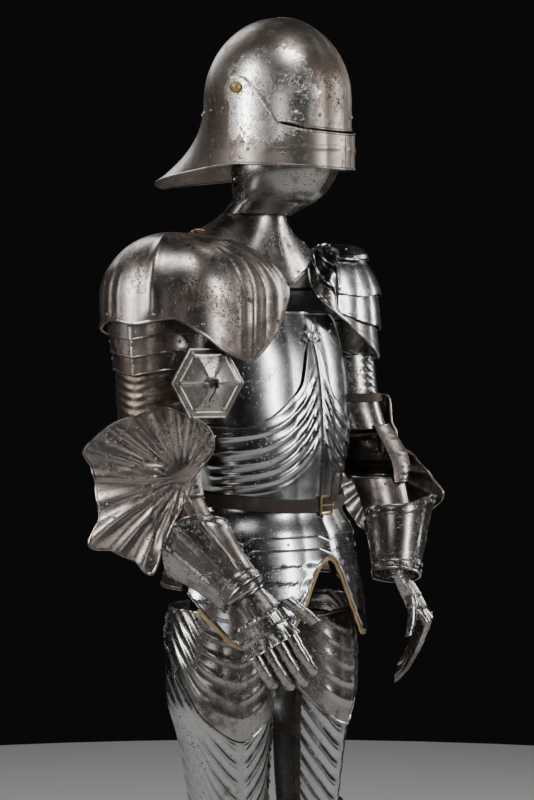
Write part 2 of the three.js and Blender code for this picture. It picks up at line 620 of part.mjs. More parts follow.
const FINGER_PITCH = 21;
const FINGER_HALF = 9.6;
const FINGERS = [
  { name: 'index', length: 74 },
  { name: 'middle', length: 82 },
  { name: 'ring', length: 76 },
  { name: 'little', length: 60 },
];
const FINGER_CURL = 34;         // degrees by which a fingertip has turned towards the palm
function finger(frame, start, length, aim) {
  const sections = spread(1, 0, 3).map((share) => {
    const curl = FINGER_CURL * share / 2;
    const middle = start.clone()
      .addScaledVector(aim, length * share * cosine(curl))
      .addScaledVector(frame.back, -length * share * sine(curl));
    const taper = share === 1 ? 0 : 1 - 0.22 * share ** 2;
    return { middle, half: FINGER_HALF * taper, rise: (FINGER_HALF + 2) * taper };
  });
  return archedPlate(sections, frame, 100, 4);
}

// The cuff is a bell about the forearm, open on the palm's side. Angle 0 is over the back of the hand.
// It widens away from the wrist, and its upper edge stands up in a tongue over the back of the arm.
const CUFF_LENGTH = 100;
const CUFF_TONGUE = 38;
function cuffBell({ start, back }, { elbow, halfArc, wrist, mouth }) {
  const axis = new Vector3(...elbow).sub(start).normalize();
  const up = back.clone().addScaledVector(axis, -back.dot(axis)).normalize();
  const side = new Vector3().crossVectors(axis, up);
  const grid = spread(0, 1, 4).map((share) => spread(-halfArc, halfArc, 12).map((angle) => {
    const tongue = CUFF_TONGUE * Math.max(0, cosine(angle)) ** 2;
    const radius = lerp(wrist, mouth, share ** 1.6);
    return start.clone().addScaledVector(axis, 6 + (CUFF_LENGTH + tongue) * share)
      .addScaledVector(up, cosine(angle) * radius).addScaledVector(side, sine(angle) * radius);
  }));
  return wall(grid, STEEL);
}

function gauntlet(side, { hand, thumbSide, cuff, fingerAim, fingerScale = 1 }) {
  const frame = handFrame(hand);
  const { start, length, forward, back, across } = frame;
  const at = (distance, rise = 0) => start.clone().addScaledVector(forward, distance).addScaledVector(back, rise);
  add(`gauntlet_${side}_cuff`, 'worn_steel', cuffBell(frame, cuff));
  add(`gauntlet_${side}_wrist`, 'worn_steel', archedPlate([
    { middle: at(2), half: 33, rise: 24 },
    { middle: at(-8), half: 35, rise: 27 },
    { middle: at(-12), half: 37, rise: 29 },
  ], frame, 84, 6));
  add(`gauntlet_${side}_hand`, 'worn_steel', archedPlate([
    { middle: at(length), half: 44, rise: 25 },
    { middle: at(length * 0.45), half: 40, rise: 27 },
    { middle: at(3.5), half: 33, rise: 24 },
  ], frame, 84, 7));
  const aim = fingerAim ? new Vector3(...fingerAim).normalize() : forward;
  FINGERS.forEach(({ name, length: reach }, index) => {
    const place = thumbSide * ((FINGERS.length - 1) / 2 - index) * FINGER_PITCH;
    const knuckle = at(length + 3, 10).addScaledVector(across, place);
    add(`gauntlet_${side}_${name}`, 'worn_steel', finger(frame, knuckle, reach * fingerScale, aim));
  });
  const thumbAim = forward.clone().addScaledVector(across, thumbSide * 0.35).addScaledVector(back, -0.25).normalize();
  const thumbStart = at(length * 0.42, -2).addScaledVector(across, thumbSide * 53);
  add(`gauntlet_${side}_thumb`, 'worn_steel', finger(frame, thumbStart, 62, thumbAim));
}
gauntlet('right', {
  hand: { wrist: [-195, -140, 885], knuckles: [-174, -180, 812], facing: -48 },
  thumbSide: 1,
  cuff: { elbow: [-228, -40, 980], halfArc: 150, wrist: 41, mouth: 62 },
});
gauntlet('left', {
  hand: { wrist: [160, -151, 885], knuckles: [180, -180, 812], facing: 48 },
  thumbSide: -1,
  cuff: { elbow: [206, -118, 1020], halfArc: 150, wrist: 43, mouth: 62 },
  fingerAim: [-0.04, 0.26, -0.95],
  fingerScale: 1.2,
});

// ---------------------------------------------------------------- legs
const LEG = [
  { height: 860, x: 95, y: 2, side: 82, front: 86, back: 84, ridge: 5 },
  { height: 800, x: 99, y: 2, side: 88, front: 92, back: 88, ridge: 6 },
  { height: 750, x: 102, y: 2, side: 91, front: 94, back: 90, ridge: 6 },
  { height: 704, x: 101, y: 2, side: 90, front: 94, back: 88, ridge: 6 },
  { height: 640, x: 94, y: 0, side: 80, front: 86, back: 80, ridge: 6 },
  { height: 515, x: 87, y: -4, side: 66, front: 73, back: 68, ridge: 5 },
  { height: 450, x: 85, y: -8, side: 60, front: 67, back: 61, ridge: 5 },
  { height: 385, x: 85, y: 0, side: 51, front: 54, back: 57, ridge: 5 },
  { height: 310, x: 87, y: 12, side: 54, front: 50, back: 66, ridge: 5 },
  { height: 200, x: 91, y: 12, side: 40, front: 38, back: 44, ridge: 4 },
  { height: 110, x: 93, y: 8, side: 36, front: 38, back: 42, ridge: 2 },
  { height: 10, x: 93, y: 8, side: 38, front: 40, back: 54, ridge: 0 },
];
// The upper cuisse ends in an arc over the thigh: table of edge heights from its outer to its inner side.
const CUISSE_ARC = [[-160, 796], [-90, 786], [-60, 736], [-35, 676], [0, 643], [35, 668], [66, 711]];
const CUISSE_TOP = [[-160, 852], [-60, 850], [0, 836], [66, 822]];
const CUISSE_ANGLES = [-160, -134, -108, -84, -60, -38, -18, 0, 18, 42, 66];
const POLEYN_ANGLES = spread(-110, 110, 8);
const GREAVE_RING = ringAngles(12);
const GREAVE_FOOT = bothSides([[0, 96], [80, 84], [120, 20], [180, 12]]);

// Sections of a sabaton, from its toe to the front of the ankle.
const SABATON = [
  { out: 222, half: 0, rise: 14 },
  { out: 200, half: 17, rise: 24 },
  { out: 160, half: 38, rise: 42 },
  { out: 110, half: 46, rise: 62 },
  { out: 46, half: 43, rise: 84 },
];
const SOLE_HEIGHT = 8;

function leg(side, outward, turn) {
  const table = LEG.map((row) => ({ ...row, x: outward * row.x, turn }));
  const form = sectionForm(table);
  // The tables of edges are drawn for a left leg's outer side at negative angles, and mirrored for it here.
  const angles = (list) => (outward < 0 ? list : list.map((angle) => -angle).reverse());
  const edge = (rows, extra = 0) => (angle) => along(rows, outward < 0 ? angle : -angle) + extra;
  add(`cuisse_${side}_upper`, 'worn_steel', plate(form, {
    angles: angles(CUISSE_ANGLES), top: edge(CUISSE_TOP), bottom: edge(CUISSE_ARC), rows: 4,
  }));
  add(`cuisse_${side}_lower`, 'bright_steel', plate(form, {
    angles: angles(CUISSE_ANGLES), top: edge(CUISSE_ARC, 24), bottom: 492, rows: 4, lift: -LAP - 2 * GAP,
  }));
  add(`poleyn_${side}`, 'worn_steel', plate(form, {
    angles: POLEYN_ANGLES, top: 508, bottom: 394, rows: 3, lift: (angle, share) => LAP + 9 * sine(share * 180),
  }));
  add(`greave_${side}`, 'worn_steel', plate(form, {
    angles: GREAVE_RING, top: 384, bottom: GREAVE_FOOT, rows: 5, closed: true,
  }));
  const toe = new Vector3(sine(turn), -cosine(turn), 0);
  const across = new Vector3(cosine(turn), sine(turn), 0);
  const ankle = new Vector3(table.at(-1).x, table.at(-1).y, SOLE_HEIGHT);
  const grid = SABATON.map(({ out, half, rise }) => spread(-90, 90, 6).map((angle) => (
    ankle.clone().addScaledVector(toe, out).addScaledVector(across, sine(angle) * half)
      .add(new Vector3(0, 0, half === 0 ? rise : cosine(angle) * rise))
  )));
  add(`sabaton_${side}`, 'worn_steel', wall(grid, STEEL));
}
leg('right', -1, -28);
leg('left', 1, 10);

armour.position.z = -HOLD_HEIGHT;
export default armour;
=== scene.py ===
"""A Gothic field armour in bright, worn and russet steel, built plate by plate around its frame."""

import math

import bmesh
import bpy
import numpy as np
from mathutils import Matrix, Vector


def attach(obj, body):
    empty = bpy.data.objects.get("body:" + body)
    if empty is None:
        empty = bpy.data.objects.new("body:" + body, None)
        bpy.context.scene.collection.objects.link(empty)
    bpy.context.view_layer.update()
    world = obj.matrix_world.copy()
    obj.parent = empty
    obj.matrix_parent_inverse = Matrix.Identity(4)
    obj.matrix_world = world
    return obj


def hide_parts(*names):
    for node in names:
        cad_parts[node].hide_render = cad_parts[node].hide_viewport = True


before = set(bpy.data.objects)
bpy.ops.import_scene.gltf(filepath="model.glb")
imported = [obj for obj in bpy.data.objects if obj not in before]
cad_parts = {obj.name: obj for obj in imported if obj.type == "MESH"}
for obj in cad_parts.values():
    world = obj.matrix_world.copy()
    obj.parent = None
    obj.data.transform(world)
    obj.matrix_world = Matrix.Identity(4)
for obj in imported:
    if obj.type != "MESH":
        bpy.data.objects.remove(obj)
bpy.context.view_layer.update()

MM = 0.001
HOLD_HEIGHT = 1430          # the frame's origin, above the floor: heights below are above the floor, in mm
STEEL = 2.0                 # thickness of a plate
GAP = 1.0                   # room between two plates that overlap
LAP = STEEL + GAP
BODY, VISOR = "harness", "visor"


# ---------------------------------------------------------------- camera, lights and floor
VIEW_AZIMUTH, VIEW_ELEVATION = -48.0, 2.0
VIEW_DISTANCE = 3.8
VIEW_HEIGHT = 1.312         # height of the view at the figure's middle
SENSOR = 36.0
AIM = Vector((0.0055, -0.0061, -0.250))


def direction(azimuth, elevation):
    """From the figure towards a place at that azimuth: 0 is in front, and it grows to the figure's left."""
    a, e = math.radians(azimuth), math.radians(elevation)
    return Vector((math.sin(a) * math.cos(e), -math.cos(a) * math.cos(e), math.sin(e)))


def look(thing, place, at):
    thing.location = place
    thing.rotation_euler = (Vector(at) - Vector(place)).to_track_quat("-Z", "Y").to_euler()


def add_camera():
    camera = bpy.data.objects.new("camera", bpy.data.cameras.new("camera"))
    camera.data.sensor_width = SENSOR
    camera.data.lens = SENSOR * VIEW_DISTANCE / VIEW_HEIGHT
    look(camera, AIM + direction(VIEW_AZIMUTH, VIEW_ELEVATION) * VIEW_DISTANCE, AIM)
    bpy.context.scene.collection.objects.link(camera)
    bpy.context.scene.camera = camera


SOFTBOXES = [
    # azimuth, elevation, distance, width, height, watts, aimed at height
    dict(azimuth=-112, elevation=20, distance=2.6, width=0.36, height=1.9, watts=52, aim=-0.15),
    dict(azimuth=6, elevation=14, distance=2.8, width=0.34, height=1.9, watts=46, aim=-0.2),
    dict(azimuth=-42, elevation=62, distance=2.8, width=0.9, height=0.9, watts=30, aim=0.1),
    dict(azimuth=72, elevation=16, distance=2.6, width=0.30, height=1.9, watts=34, aim=-0.1),
    dict(azimuth=-66, elevation=4, distance=4.8, width=1.1, height=1.5, watts=12, aim=-0.3),
    dict(azimuth=165, elevation=35, distance=3.0, width=1.0, height=1.6, watts=24, aim=0.0),
]


def add_lights():
    for index, row in enumerate(SOFTBOXES):
        light = bpy.data.lights.new(f"softbox_{index}", "AREA")
        light.shape, light.size, light.size_y = "RECTANGLE", row["width"], row["height"]
        light.energy = row["watts"]
        box = bpy.data.objects.new(light.name, light)
        at = Vector((0, 0, row["aim"]))
        look(box, at + direction(row["azimuth"], row["elevation"]) * row["distance"], at)
        bpy.context.scene.collection.objects.link(box)
    world = bpy.data.worlds.new("studio")
    world.use_nodes = True
    world.node_tree.nodes["Background"].inputs["Color"].default_value = (0.005, 0.0045, 0.005, 1)
    bpy.context.scene.world = world


def add_floor(material):
    mesh = bpy.data.meshes.new("floor")
    radius, level, count = 3.4, -HOLD_HEIGHT * MM, 96
    turns = [2 * math.pi * step / count for step in range(count)]
    mesh.from_pydata([(radius * math.cos(t), radius * math.sin(t), level) for t in turns], [],
                     [list(range(count))])
    floor = bpy.data.objects.new("floor", mesh)
    mesh.materials.append(material)
    bpy.context.scene.collection.objects.link(floor)


# ---------------------------------------------------------------- shader maths
class Signal:
    """A shader value. Sums and products of signals add their own Math nodes."""

    def __init__(self, finish, socket):
        self.finish, self.socket = finish, socket

    def maths(self, operation, *values):
        return self.finish.node("Math", dict(operation=operation), dict(enumerate(values)))

    def __add__(self, other):
        return self.maths("ADD", self, other)

    __radd__ = __add__

    def __sub__(self, other):
        return self.maths("SUBTRACT", self, other)

    def __rsub__(self, other):
        return self.maths("SUBTRACT", other, self)

    def __mul__(self, other):
        return self.maths("MULTIPLY", self, other)

    __rmul__ = __mul__

    def clamped(self):
        return self.maths("MINIMUM", self.maths("MAXIMUM", self, 0.0), 1.0)

    def between(self, low, high):
        """0 below low, 1 above high, and smooth from one to the other."""
        inputs = {"Value": self, "From Min": low, "From Max": high}
        return self.finish.node("MapRange", dict(interpolation_type="SMOOTHSTEP"), inputs)


class Finish:
    """A material whose nodes are added one at a time."""

    def __init__(self, name):
        self.material = bpy.data.materials.new(name)
        self.material.use_nodes = True
        self.tree = self.material.node_tree
        self.shader = self.tree.nodes["Principled BSDF"]

    def node(self, kind, settings=None, inputs=None, output=0):
        made = self.tree.nodes.new("ShaderNode" + kind)
        for key, value in (settings or {}).items():
            setattr(made, key, value)
        for key, value in (inputs or {}).items():
            self.feed(made.inputs[key], value)
        return Signal(self, made.outputs[output])

    def feed(self, socket, value):
        if isinstance(value, Signal):
            self.tree.links.new(value.socket, socket)
        else:
            socket.default_value = value

    def place(self):
        return self.node("TexCoord", output="Object")

    def noise(self, scale, detail=4.0, roughness=0.55, vector=None, distortion=0.0):
        inputs = {"Vector": vector or self.place(), "Scale": scale, "Detail": detail, "Roughness": roughness,
                  "Distortion": distortion}
        return self.node("TexNoise", None, inputs)

    def cells(self, scale, vector=None):
        return self.node("TexVoronoi", dict(feature="F1"), {"Vector": vector or self.place(), "Scale": scale})

    def stretched(self, x, y, z):
        return self.node("VectorMath", dict(operation="MULTIPLY"), {0: self.place(), 1: (x, y, z)})

    def blend(self, share, first, second):
        made = self.tree.nodes.new("ShaderNodeMix")
        made.data_type = "RGBA"
        self.feed(made.inputs["Factor"], share)
        for key, value in (("A", first), ("B", second)):
            socket = next(s for s in made.inputs if s.name == key and s.type == "RGBA")
            self.feed(socket, value)
        return Signal(self, next(s for s in made.outputs if s.type == "RGBA"))

    def surface(self, **sockets):
        for name, value in sockets.items():
            self.feed(self.shader.inputs[name.replace("_", " ").title()], value)

    def bumps(self, *layers):
        """Each layer is (height, distance in metres, strength)."""
        normal = None
        for height, distance, strength in layers:
            inputs = {"Height": height, "Distance": distance, "Strength": strength}
            if normal:
                inputs["Normal"] = normal
            normal = self.node("Bump", None, inputs)
        self.feed(self.shader.inputs["Normal"], normal)


def colour(red, green, blue):
    return (red, green, blue, 1.0)


def steel(name, clean, stain, stained, pitted, polish, rust=0.0, highlight_patch=None):
    """Forged plate: clean metal under a stain that comes and goes, with pits scattered over it.
    stained, pitted and rust run from 0, none, to 1, all over; polish is the clean metal's roughness.
    A patch (x, y, z, radius) is a painted highlight: the stain is left off there so the bright clean colour
    shows, and what lies outside it is darker for that."""
    finish = Finish(name)
    broad = finish.noise(7.0, 6.0, 0.62, distortion=0.4)
    patches = finish.noise(31.0, 8.0, 0.68)
    stain_mask = (broad * 0.62 + patches * 0.38).between(0.64 - 0.34 * stained, 0.74 - 0.30 * stained)
    # Painted highlight: inside the patch, which has a ragged edge, the stain is cleared so the bright clean
    # colour shows.
    if highlight_patch:
        inputs = {0: finish.place(), 1: highlight_patch[:3]}
        away = finish.node("VectorMath", dict(operation="DISTANCE"), inputs, output=1)
        ragged = away + (patches - 0.5) * 0.11 + (finish.noise(120.0, 6.0, 0.7) - 0.5) * 0.05
        rubbed_wear_and_highlight = 1.0 - ragged.between(highlight_patch[3] - 0.004, highlight_patch[3] + 0.003)
        stain_mask = ((stain_mask * 0.3 + 0.85) * (1.0 - rubbed_wear_and_highlight * 0.97)).clamped()
    speck = finish.noise(420.0, 2.0, 0.5)
    flecks = finish.noise(150.0, 5.0, 0.7)
    where = finish.noise(15.0, 4.0, 0.6)
    pit_mask = (speck * 0.55 + flecks * 0.45 + where * 0.35).between(0.80 - 0.14 * pitted,
                                                                     0.85 - 0.12 * pitted)
    tone = finish.noise(3.1, 3.0)
    clean_tone = finish.blend(tone, clean, tuple(0.82 * part for part in clean[:3]) + (1.0,))
    stain_tone = finish.blend(patches, stain, tuple(0.55 * part for part in stain[:3]) + (1.0,))
    base = finish.blend(stain_mask * 0.92, clean_tone, stain_tone)
    base = finish.blend(pit_mask * 0.8, base, colour(0.045, 0.030, 0.020))
    rough = finish.noise(60.0, 5.0, 0.6) * 0.14 + polish - 0.07
    rough = rough + stain_mask * 0.10 + pit_mask * 0.22
    metal = 1.0 - (stain_mask * 0.08 + pit_mask * 0.35)
    if rust:
        bloom = finish.noise(22.0, 7.0, 0.7, distortion=0.8).between(0.70 - 0.25 * rust, 0.78 - 0.2 * rust)
        base = finish.blend(bloom * 0.8, base, colour(0.17, 0.075, 0.032))
        rough = rough + bloom * 0.2
        metal = metal - bloom * 0.2
    brushed = finish.noise(900.0, 2.0, 0.5, vector=finish.stretched(1.0, 1.0, 0.12))
    hammered = finish.noise(26.0, 2.0, 0.4)
    finish.surface(base_color=base, roughness=rough.clamped(), metallic=metal.clamped())
    finish.bumps((hammered, 0.0014, 0.22), (brushed, 0.0002, 0.12), (1.0 - pit_mask, 0.0005, 0.5))
    return finish.material


def leather(name, face, worn):
    finish = Finish(name)
    grain = finish.cells(900.0)
    creases = finish.noise(70.0, 8.0, 0.7)
    rubbed_wear_and_highlight = finish.noise(28.0, 6.0, 0.6).between(0.46, 0.68)
    base = finish.blend(rubbed_wear_and_highlight, face, worn)
    base = finish.blend(creases.between(0.42, 0.30) * 0.6, base, colour(0.02, 0.012, 0.008))
    finish.surface(base_color=base, roughness=(0.62 + creases * 0.25).clamped())
    finish.bumps((creases, 0.0012, 0.5), (grain, 0.0004, 0.4))
    return finish.material


def brass(name, clean, dull):
    finish = Finish(name)
    tarnish = finish.noise(80.0, 6.0, 0.65).between(0.38, 0.62)
    finish.surface(base_color=finish.blend(tarnish, clean, dull), metallic=(1.0 - tarnish * 0.35),
                   roughness=0.32 + tarnish * 0.3)
    finish.bumps((finish.noise(220.0, 4.0), 0.0006, 0.4))
    return finish.material


def painted(name, tone, rough):
    finish = Finish(name)
    cloud = finish.noise(3.0, 3.0)
    finish.surface(base_color=finish.blend(cloud, tone, tuple(0.93 * part for part in tone[:3]) + (1.0,)),
                   roughness=rough + cloud * 0.1)
    return finish.material


# ---------------------------------------------------------------- curves and forms
def wrapped(angle):
    return (np.asarray(angle, float) + 180.0) % 360.0 - 180.0


def lerp(a, b, share):
    return a + (b - a) * share


class Curve:
    """A smooth curve through rows of (place, value), level beyond its ends, or running round a circle."""

    def __init__(self, rows, around=False):
        rows = sorted(rows)
        if around:
            before = [(x - 360, y) for x, y in rows[-3:]]
            rows = before + rows + [(x + 360, y) for x, y in rows[:3]]
        self.around = around
        self.x = np.array([row[0] for row in rows], float)
        self.y = np.array([row[1] for row in rows], float)
        self.step = np.diff(self.x)
        slope = np.diff(self.y) / self.step
        same = slope[:-1] * slope[1:] > 0
        both = np.where(same, slope[:-1] + slope[1:], 1.0)
        self.tangent = np.concatenate([slope[:1], np.where(same, 2 * slope[:-1] * slope[1:] / both, 0.0),
                                       slope[-1:]])

    def __call__(self, at):
        at = np.asarray(at, float)
        at = at % 360.0 if self.around else at
        at = np.clip(at, self.x[0], self.x[-1])
        i = np.clip(np.searchsorted(self.x, at) - 1, 0, len(self.x) - 2)
        h = self.step[i]
        t = (at - self.x[i]) / h
        value = self.y[i] * (2 * t**3 - 3 * t**2 + 1) + self.y[i + 1] * (3 * t**2 - 2 * t**3)
        return value + h * (self.tangent[i] * (t**3 - 2 * t**2 + t) + self.tangent[i + 1] * (t**3 - t**2))


def even(rows):
    curve = Curve(rows)
    return lambda angle: curve(np.abs(wrapped(angle)))


RIDGE_SPREAD = 16.0


def spine(angle):
    """How much of the median ridge stands at an angle from it."""
    return np.maximum(0.0, 1.0 - np.abs(wrapped(angle)) / RIDGE_SPREAD)


def sections(columns, rows, turn=0.0):
    """A form with level sections. Each row holds a height, then the values that the columns name."""
    curves = {name: Curve([(row[0], row[i + 1]) for row in rows]) for i, name in enumerate(columns.split())}
    c, s = math.cos(math.radians(turn)), math.sin(math.radians(turn))

    def form(height, angle, lift=0.0):
        height, angle, lift = np.broadcast_arrays(*(np.asarray(part, float) for part in (height, angle,
            lift)))
        of = {name: curve(height) for name, curve in curves.items()}
        a = np.radians(angle)
        depth = np.where(np.cos(a) > 0, of["front"], of["back"]) + lift + of.get("ridge", 0.0) * spine(angle)
        x, y = np.sin(a) * (of["side"] + lift), -np.cos(a) * depth
        return np.stack([of.get("x", 0.0) + c * x - s * y, of.get("y", 0.0) + s * x + c * y, height], -1)

    return form


def cords(t, sharp=3.0):
    """Raised cords at whole numbers of t, with hollows between them."""
    return (0.5 + 0.5 * np.cos(2 * math.pi * t)) ** sharp


def scallops(t, power=0.6):
    """Round ridges that meet in creases at whole numbers of t."""
    return np.abs(np.sin(math.pi * t)) ** power


def window(value, low, high, soft):
    """1 between low and high, with soft ends."""
    rise = np.clip((value - low) / soft, 0, 1)
    fall = np.clip((high - value) / soft, 0, 1)
    inside = np.minimum(rise, fall)
    return inside * inside * (3 - 2 * inside)


def between_lines(height, lines):
    """A count of lines passed going down, with the way between two of them as its fraction."""
    count = np.zeros(np.broadcast(height, *lines).shape)
    for i in range(len(lines) - 1):
        part = (lines[i] - height) / np.maximum(lines[i] - lines[i + 1], 1e-6)
        count = np.where(height <= lines[i], i + np.minimum(part, 1.0), count)
    return count


# ---------------------------------------------------------------- sheets of steel, and what is set on them
FINENESS = 0.78             # share of the stated columns and rows that a plate's faces use


class Sheet:
    """A plate's outer face: surface(across, up) gives its points, with up from 0 at the lower edge to 1."""

    def __init__(self, surface, start, end, closed=False):
        self.surface, self.start, self.end, self.closed = surface, start, end, closed

    def at(self, across, up):
        across, up = np.broadcast_arrays(np.asarray(across, float), np.asarray(up, float))
        return self.surface(across, up)

    def normal(self, across, up):
        step = (self.end - self.start) * 2e-3
        up = np.clip(up, 0.006, 0.994)
        along = self.at(across + step, up) - self.at(across - step, up)
        rise = self.at(across, up + 4e-3) - self.at(across, up - 4e-3)
        outward = np.cross(along, rise)
        return outward / np.maximum(np.linalg.norm(outward, axis=-1, keepdims=True), 1e-9)

    def wall(self, columns, rows, thickness=STEEL):
        columns, rows = round(columns * FINENESS), max(4, round(rows * FINENESS))
        across = np.linspace(self.start, self.end, columns + 1)
        across = across[:-1] if self.closed else across
        a, u = np.meshgrid(across, np.linspace(0, 1, rows + 1))
        outer, normal = self.at(a, u), self.normal(a, u)
        wide, high = a.shape[1], a.shape[0]
        points = np.concatenate([outer.reshape(-1, 3), (outer - normal * thickness).reshape(-1, 3)])
        spans = wide if self.closed else wide - 1
        k, r = np.meshgrid(np.arange(spans), np.arange(high - 1))
        a0, a1 = (r * wide + k).ravel(), (r * wide + (k + 1) % wide).ravel()
        front = np.stack([a0, a1, a1 + wide, a0 + wide], -1)
        back = front[:, ::-1] + wide * high
        k = np.arange(spans)
        rims = []
        for base, flip in ((0, False), ((high - 1) * wide, True)):
            low = np.stack([base + k, base + k + wide * high, base + (k + 1) % wide + wide * high,
                            base + (k + 1) % wide], -1)
            rims.append(low[:, ::-1] if flip else low)
        if not self.closed:
            r = np.arange(high - 1)
            for base, flip in ((0, True), (wide - 1, False)):
                edge = np.stack([base + r * wide, base + r * wide + wide * high,
                                 base + (r + 1) * wide + wide * high, base + (r + 1) * wide], -1)
                rims.append(edge[:, ::-1] if flip else edge)
        return points, np.concatenate([front, back] + rims).tolist()

    def row(self, up, count=120, start=None, end=None):
        across = np.linspace(self.start if start is None else start, self.end if end is None else end,
                             count + 1)
        return across[:-1] if self.closed and start is None else across, up

    def border(self, up, radius=2.2, count=140, start=None, end=None, inset=0.5):
        """A turned edge along the plate at that height."""
        across, up = self.row(up, count, start, end)
        line = self.at(across, up) - self.normal(across, up) * STEEL * inset
        return tube(line, radius, closed=self.closed and start is None)

    def side_border(self, across, radius=2.2, count=60, start=0.0, end=1.0):
        up = np.linspace(start, end, count + 1)
        return tube(self.at(across, up) - self.normal(across, up) * STEEL * 0.5, radius)

    def studs(self, across, up, radius=3.0):
        across, up = np.broadcast_arrays(np.atleast_1d(np.asarray(across, float)), np.asarray(up, float))
        return studs(self.at(across, up), self.normal(across, up), radius)

    def strap(self, places, width, thickness=2.5, count=40, clear=0.6):
        """A strap that lies on the plate along (across, up) places."""
        places = np.array(places, float)
        share = np.linspace(0, 1, len(places))
        at = np.linspace(0, 1, count)
        across, up = np.interp(at, share, places[:, 0]), np.interp(at, share, places[:, 1])
        normal = self.normal(across, up)
        return ribbon(self.at(across, up) + normal * clear, normal, width, thickness)

    def buckle(self, across, up, heading, width, length, clear=3.0, bar=1.6):
        at, normal = self.at(across, up), self.normal(across, up)
        along = self.at(across + heading[0], up + heading[1]) - at
        return buckle(at + normal * clear, normal, along, width, length, bar)


def unit(vector):
    return vector / np.maximum(np.linalg.norm(vector, axis=-1, keepdims=True), 1e-9)


def tube(line, radius, closed=False, sides=8):
    line = np.asarray(line, float)
    ahead = np.roll(line, -1, 0) - np.roll(line, 1, 0) if closed else np.gradient(line, axis=0)
    ahead = unit(ahead)
    side = np.cross(ahead[0], (0.31, 0.47, 0.83))
    rings = []
    radii = np.broadcast_to(radius, len(line))
    for point, way, reach in zip(line, ahead, radii):
        side = unit(side - way * np.dot(side, way))
        other = np.cross(way, side)
        turns = np.linspace(0, 2 * math.pi, sides + 1)[:-1, None]
        rings.append(point + (np.cos(turns) * side + np.sin(turns) * other) * reach)
    faces = []
    spans = len(line) if closed else len(line) - 1
    turned = int(np.argmax((rings[-1] - line[-1]) @ (rings[0][0] - line[0]))) if closed else 0
    for i in range(spans):
        j = (i + 1) % len(line)
        shift = turned if closed and j == 0 else 0
        for k in range(sides):
            a, b = i * sides + (k + shift) % sides, i * sides + (k + 1 + shift) % sides
            faces.append([a, b, j * sides + (k + 1) % sides, j * sides + k])
    if not closed:
        faces += [list(range(sides))[::-1], list(range((len(line) - 1) * sides, len(line) * sides))]
    return np.concatenate(rings), faces


def studs(places, outward, radius, sides=10):
    profile = [(1.0, -0.4), (1.0, 0.12), (0.85, 0.42), (0.5, 0.66), (0.0, 0.74)]
    points, faces = [], []
    for at, normal in zip(np.reshape(places, (-1, 3)), np.reshape(outward, (-1, 3))):
        side = unit(np.cross(normal, (0.21, 0.93, 0.31)))
        other = np.cross(normal, side)
        base = len(points)
        for reach, rise in profile[:-1]:
            for k in range(sides):
                turn = 2 * math.pi * k / sides
                around = math.cos(turn) * side + math.sin(turn) * other
                points.append(at + (around * reach + normal * rise) * radius)
        points.append(at + normal * profile[-1][1] * radius)
        rings = len(profile) - 1
        for ring in range(rings - 1):
            for k in range(sides):
                a, b = base + ring * sides + k, base + ring * sides + (k + 1) % sides
                faces.append([a, b, b + sides, a + sides])
        top, last = base + rings * sides, base + (rings - 1) * sides
        faces += [[last + k, last + (k + 1) % sides, top] for k in range(sides)]
    return np.array(points), faces


def ribbon(line, outward, width, thickness):
    """A flat strap along a line, with its upper corners rounded. Width may change along it."""
    line = np.asarray(line, float)
    outward = unit(np.broadcast_to(outward, line.shape))
    side = unit(np.cross(np.gradient(line, axis=0), outward))
    half = np.broadcast_to(width, len(line))[:, None] / 2
    profile = [(-1, 0), (1, 0), (1, 0.6), (0.9, 1), (-0.9, 1), (-1, 0.6)]
    rings = [line + side * half * across + outward * thickness * up for across, up in profile]
    sides, count = len(profile), len(line)
    points = np.stack(rings, 1).reshape(-1, 3)
    faces = []
    for i in range(count - 1):
        for k in range(sides):
            a, b = i * sides + k, i * sides + (k + 1) % sides
            faces.append([a, b, b + sides, a + sides])
    faces += [list(range(sides))[::-1], list(range((count - 1) * sides, count * sides))]
    return points, faces


def buckle(at, outward, along, width, length, bar=1.6):
    """A square frame with rounded corners and a tongue, lying on a surface at that place."""
    at = np.asarray(at, float).reshape(3)
    outward = unit(np.asarray(outward, float).reshape(3))
    along = unit(np.asarray(along, float).reshape(3) - outward * np.dot(outward,
        np.asarray(along, float).reshape(3)))
    side = np.cross(along, outward)
    turns = np.linspace(0, 2 * math.pi, 33)[:-1]
    square = lambda value: np.sign(value) * np.abs(value) ** 0.35
    frame_line = [at + side * square(math.cos(t)) * width / 2 + along * square(math.sin(t)) * length / 2
                  for t in turns]
    ring = tube(frame_line, bar, closed=True)
    tongue = tube([at - along * length * 0.5, at + outward * bar,
                   at + along * length * 0.55 + outward * bar], bar * 0.7)
    return together(ring, tongue)


def together(*bits):
    points, faces, base = [], [], 0
    for more, skin in bits:
        points.append(np.reshape(more, (-1, 3)))
        faces += [[base + corner for corner in face] for face in skin]
        base += len(points[-1])
    return np.concatenate(points), faces


def build(name, node, finish, bits, body=BODY, sharp=38.0, extra=()):
    """One object: its main bits in the finish of its slot, and extra bits as (finish, bits)."""
    groups = [(finish, bits)] + list(extra)
    mesh = bpy.data.meshes.new(name)
    points, faces = together(*[together(*part) for _, part in groups])
    mesh.from_pydata((points * MM - np.array([0, 0, HOLD_HEIGHT * MM])).tolist(), [], faces)
    indices, slots = [], []
    for key, part in groups:
        if key not in slots:
            slots.append(key)
            mesh.materials.append(MATERIALS[key])
        indices += [slots.index(key)] * sum(len(skin) for _, skin in part)
    mesh.polygons.foreach_set("material_index", indices)
    edit = bmesh.new()
    edit.from_mesh(mesh)
    bmesh.ops.remove_doubles(edit, verts=edit.verts, dist=2e-5)
    edit.to_mesh(mesh)
    edit.free()
    mesh.polygons.foreach_set("use_smooth", [True] * len(mesh.polygons))
    mesh.set_sharp_from_angle(angle=math.radians(sharp))
    made = bpy.data.objects.new(name, mesh)
    bpy.context.scene.collection.objects.link(made)
    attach(made, body)
    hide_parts(node)
    return made


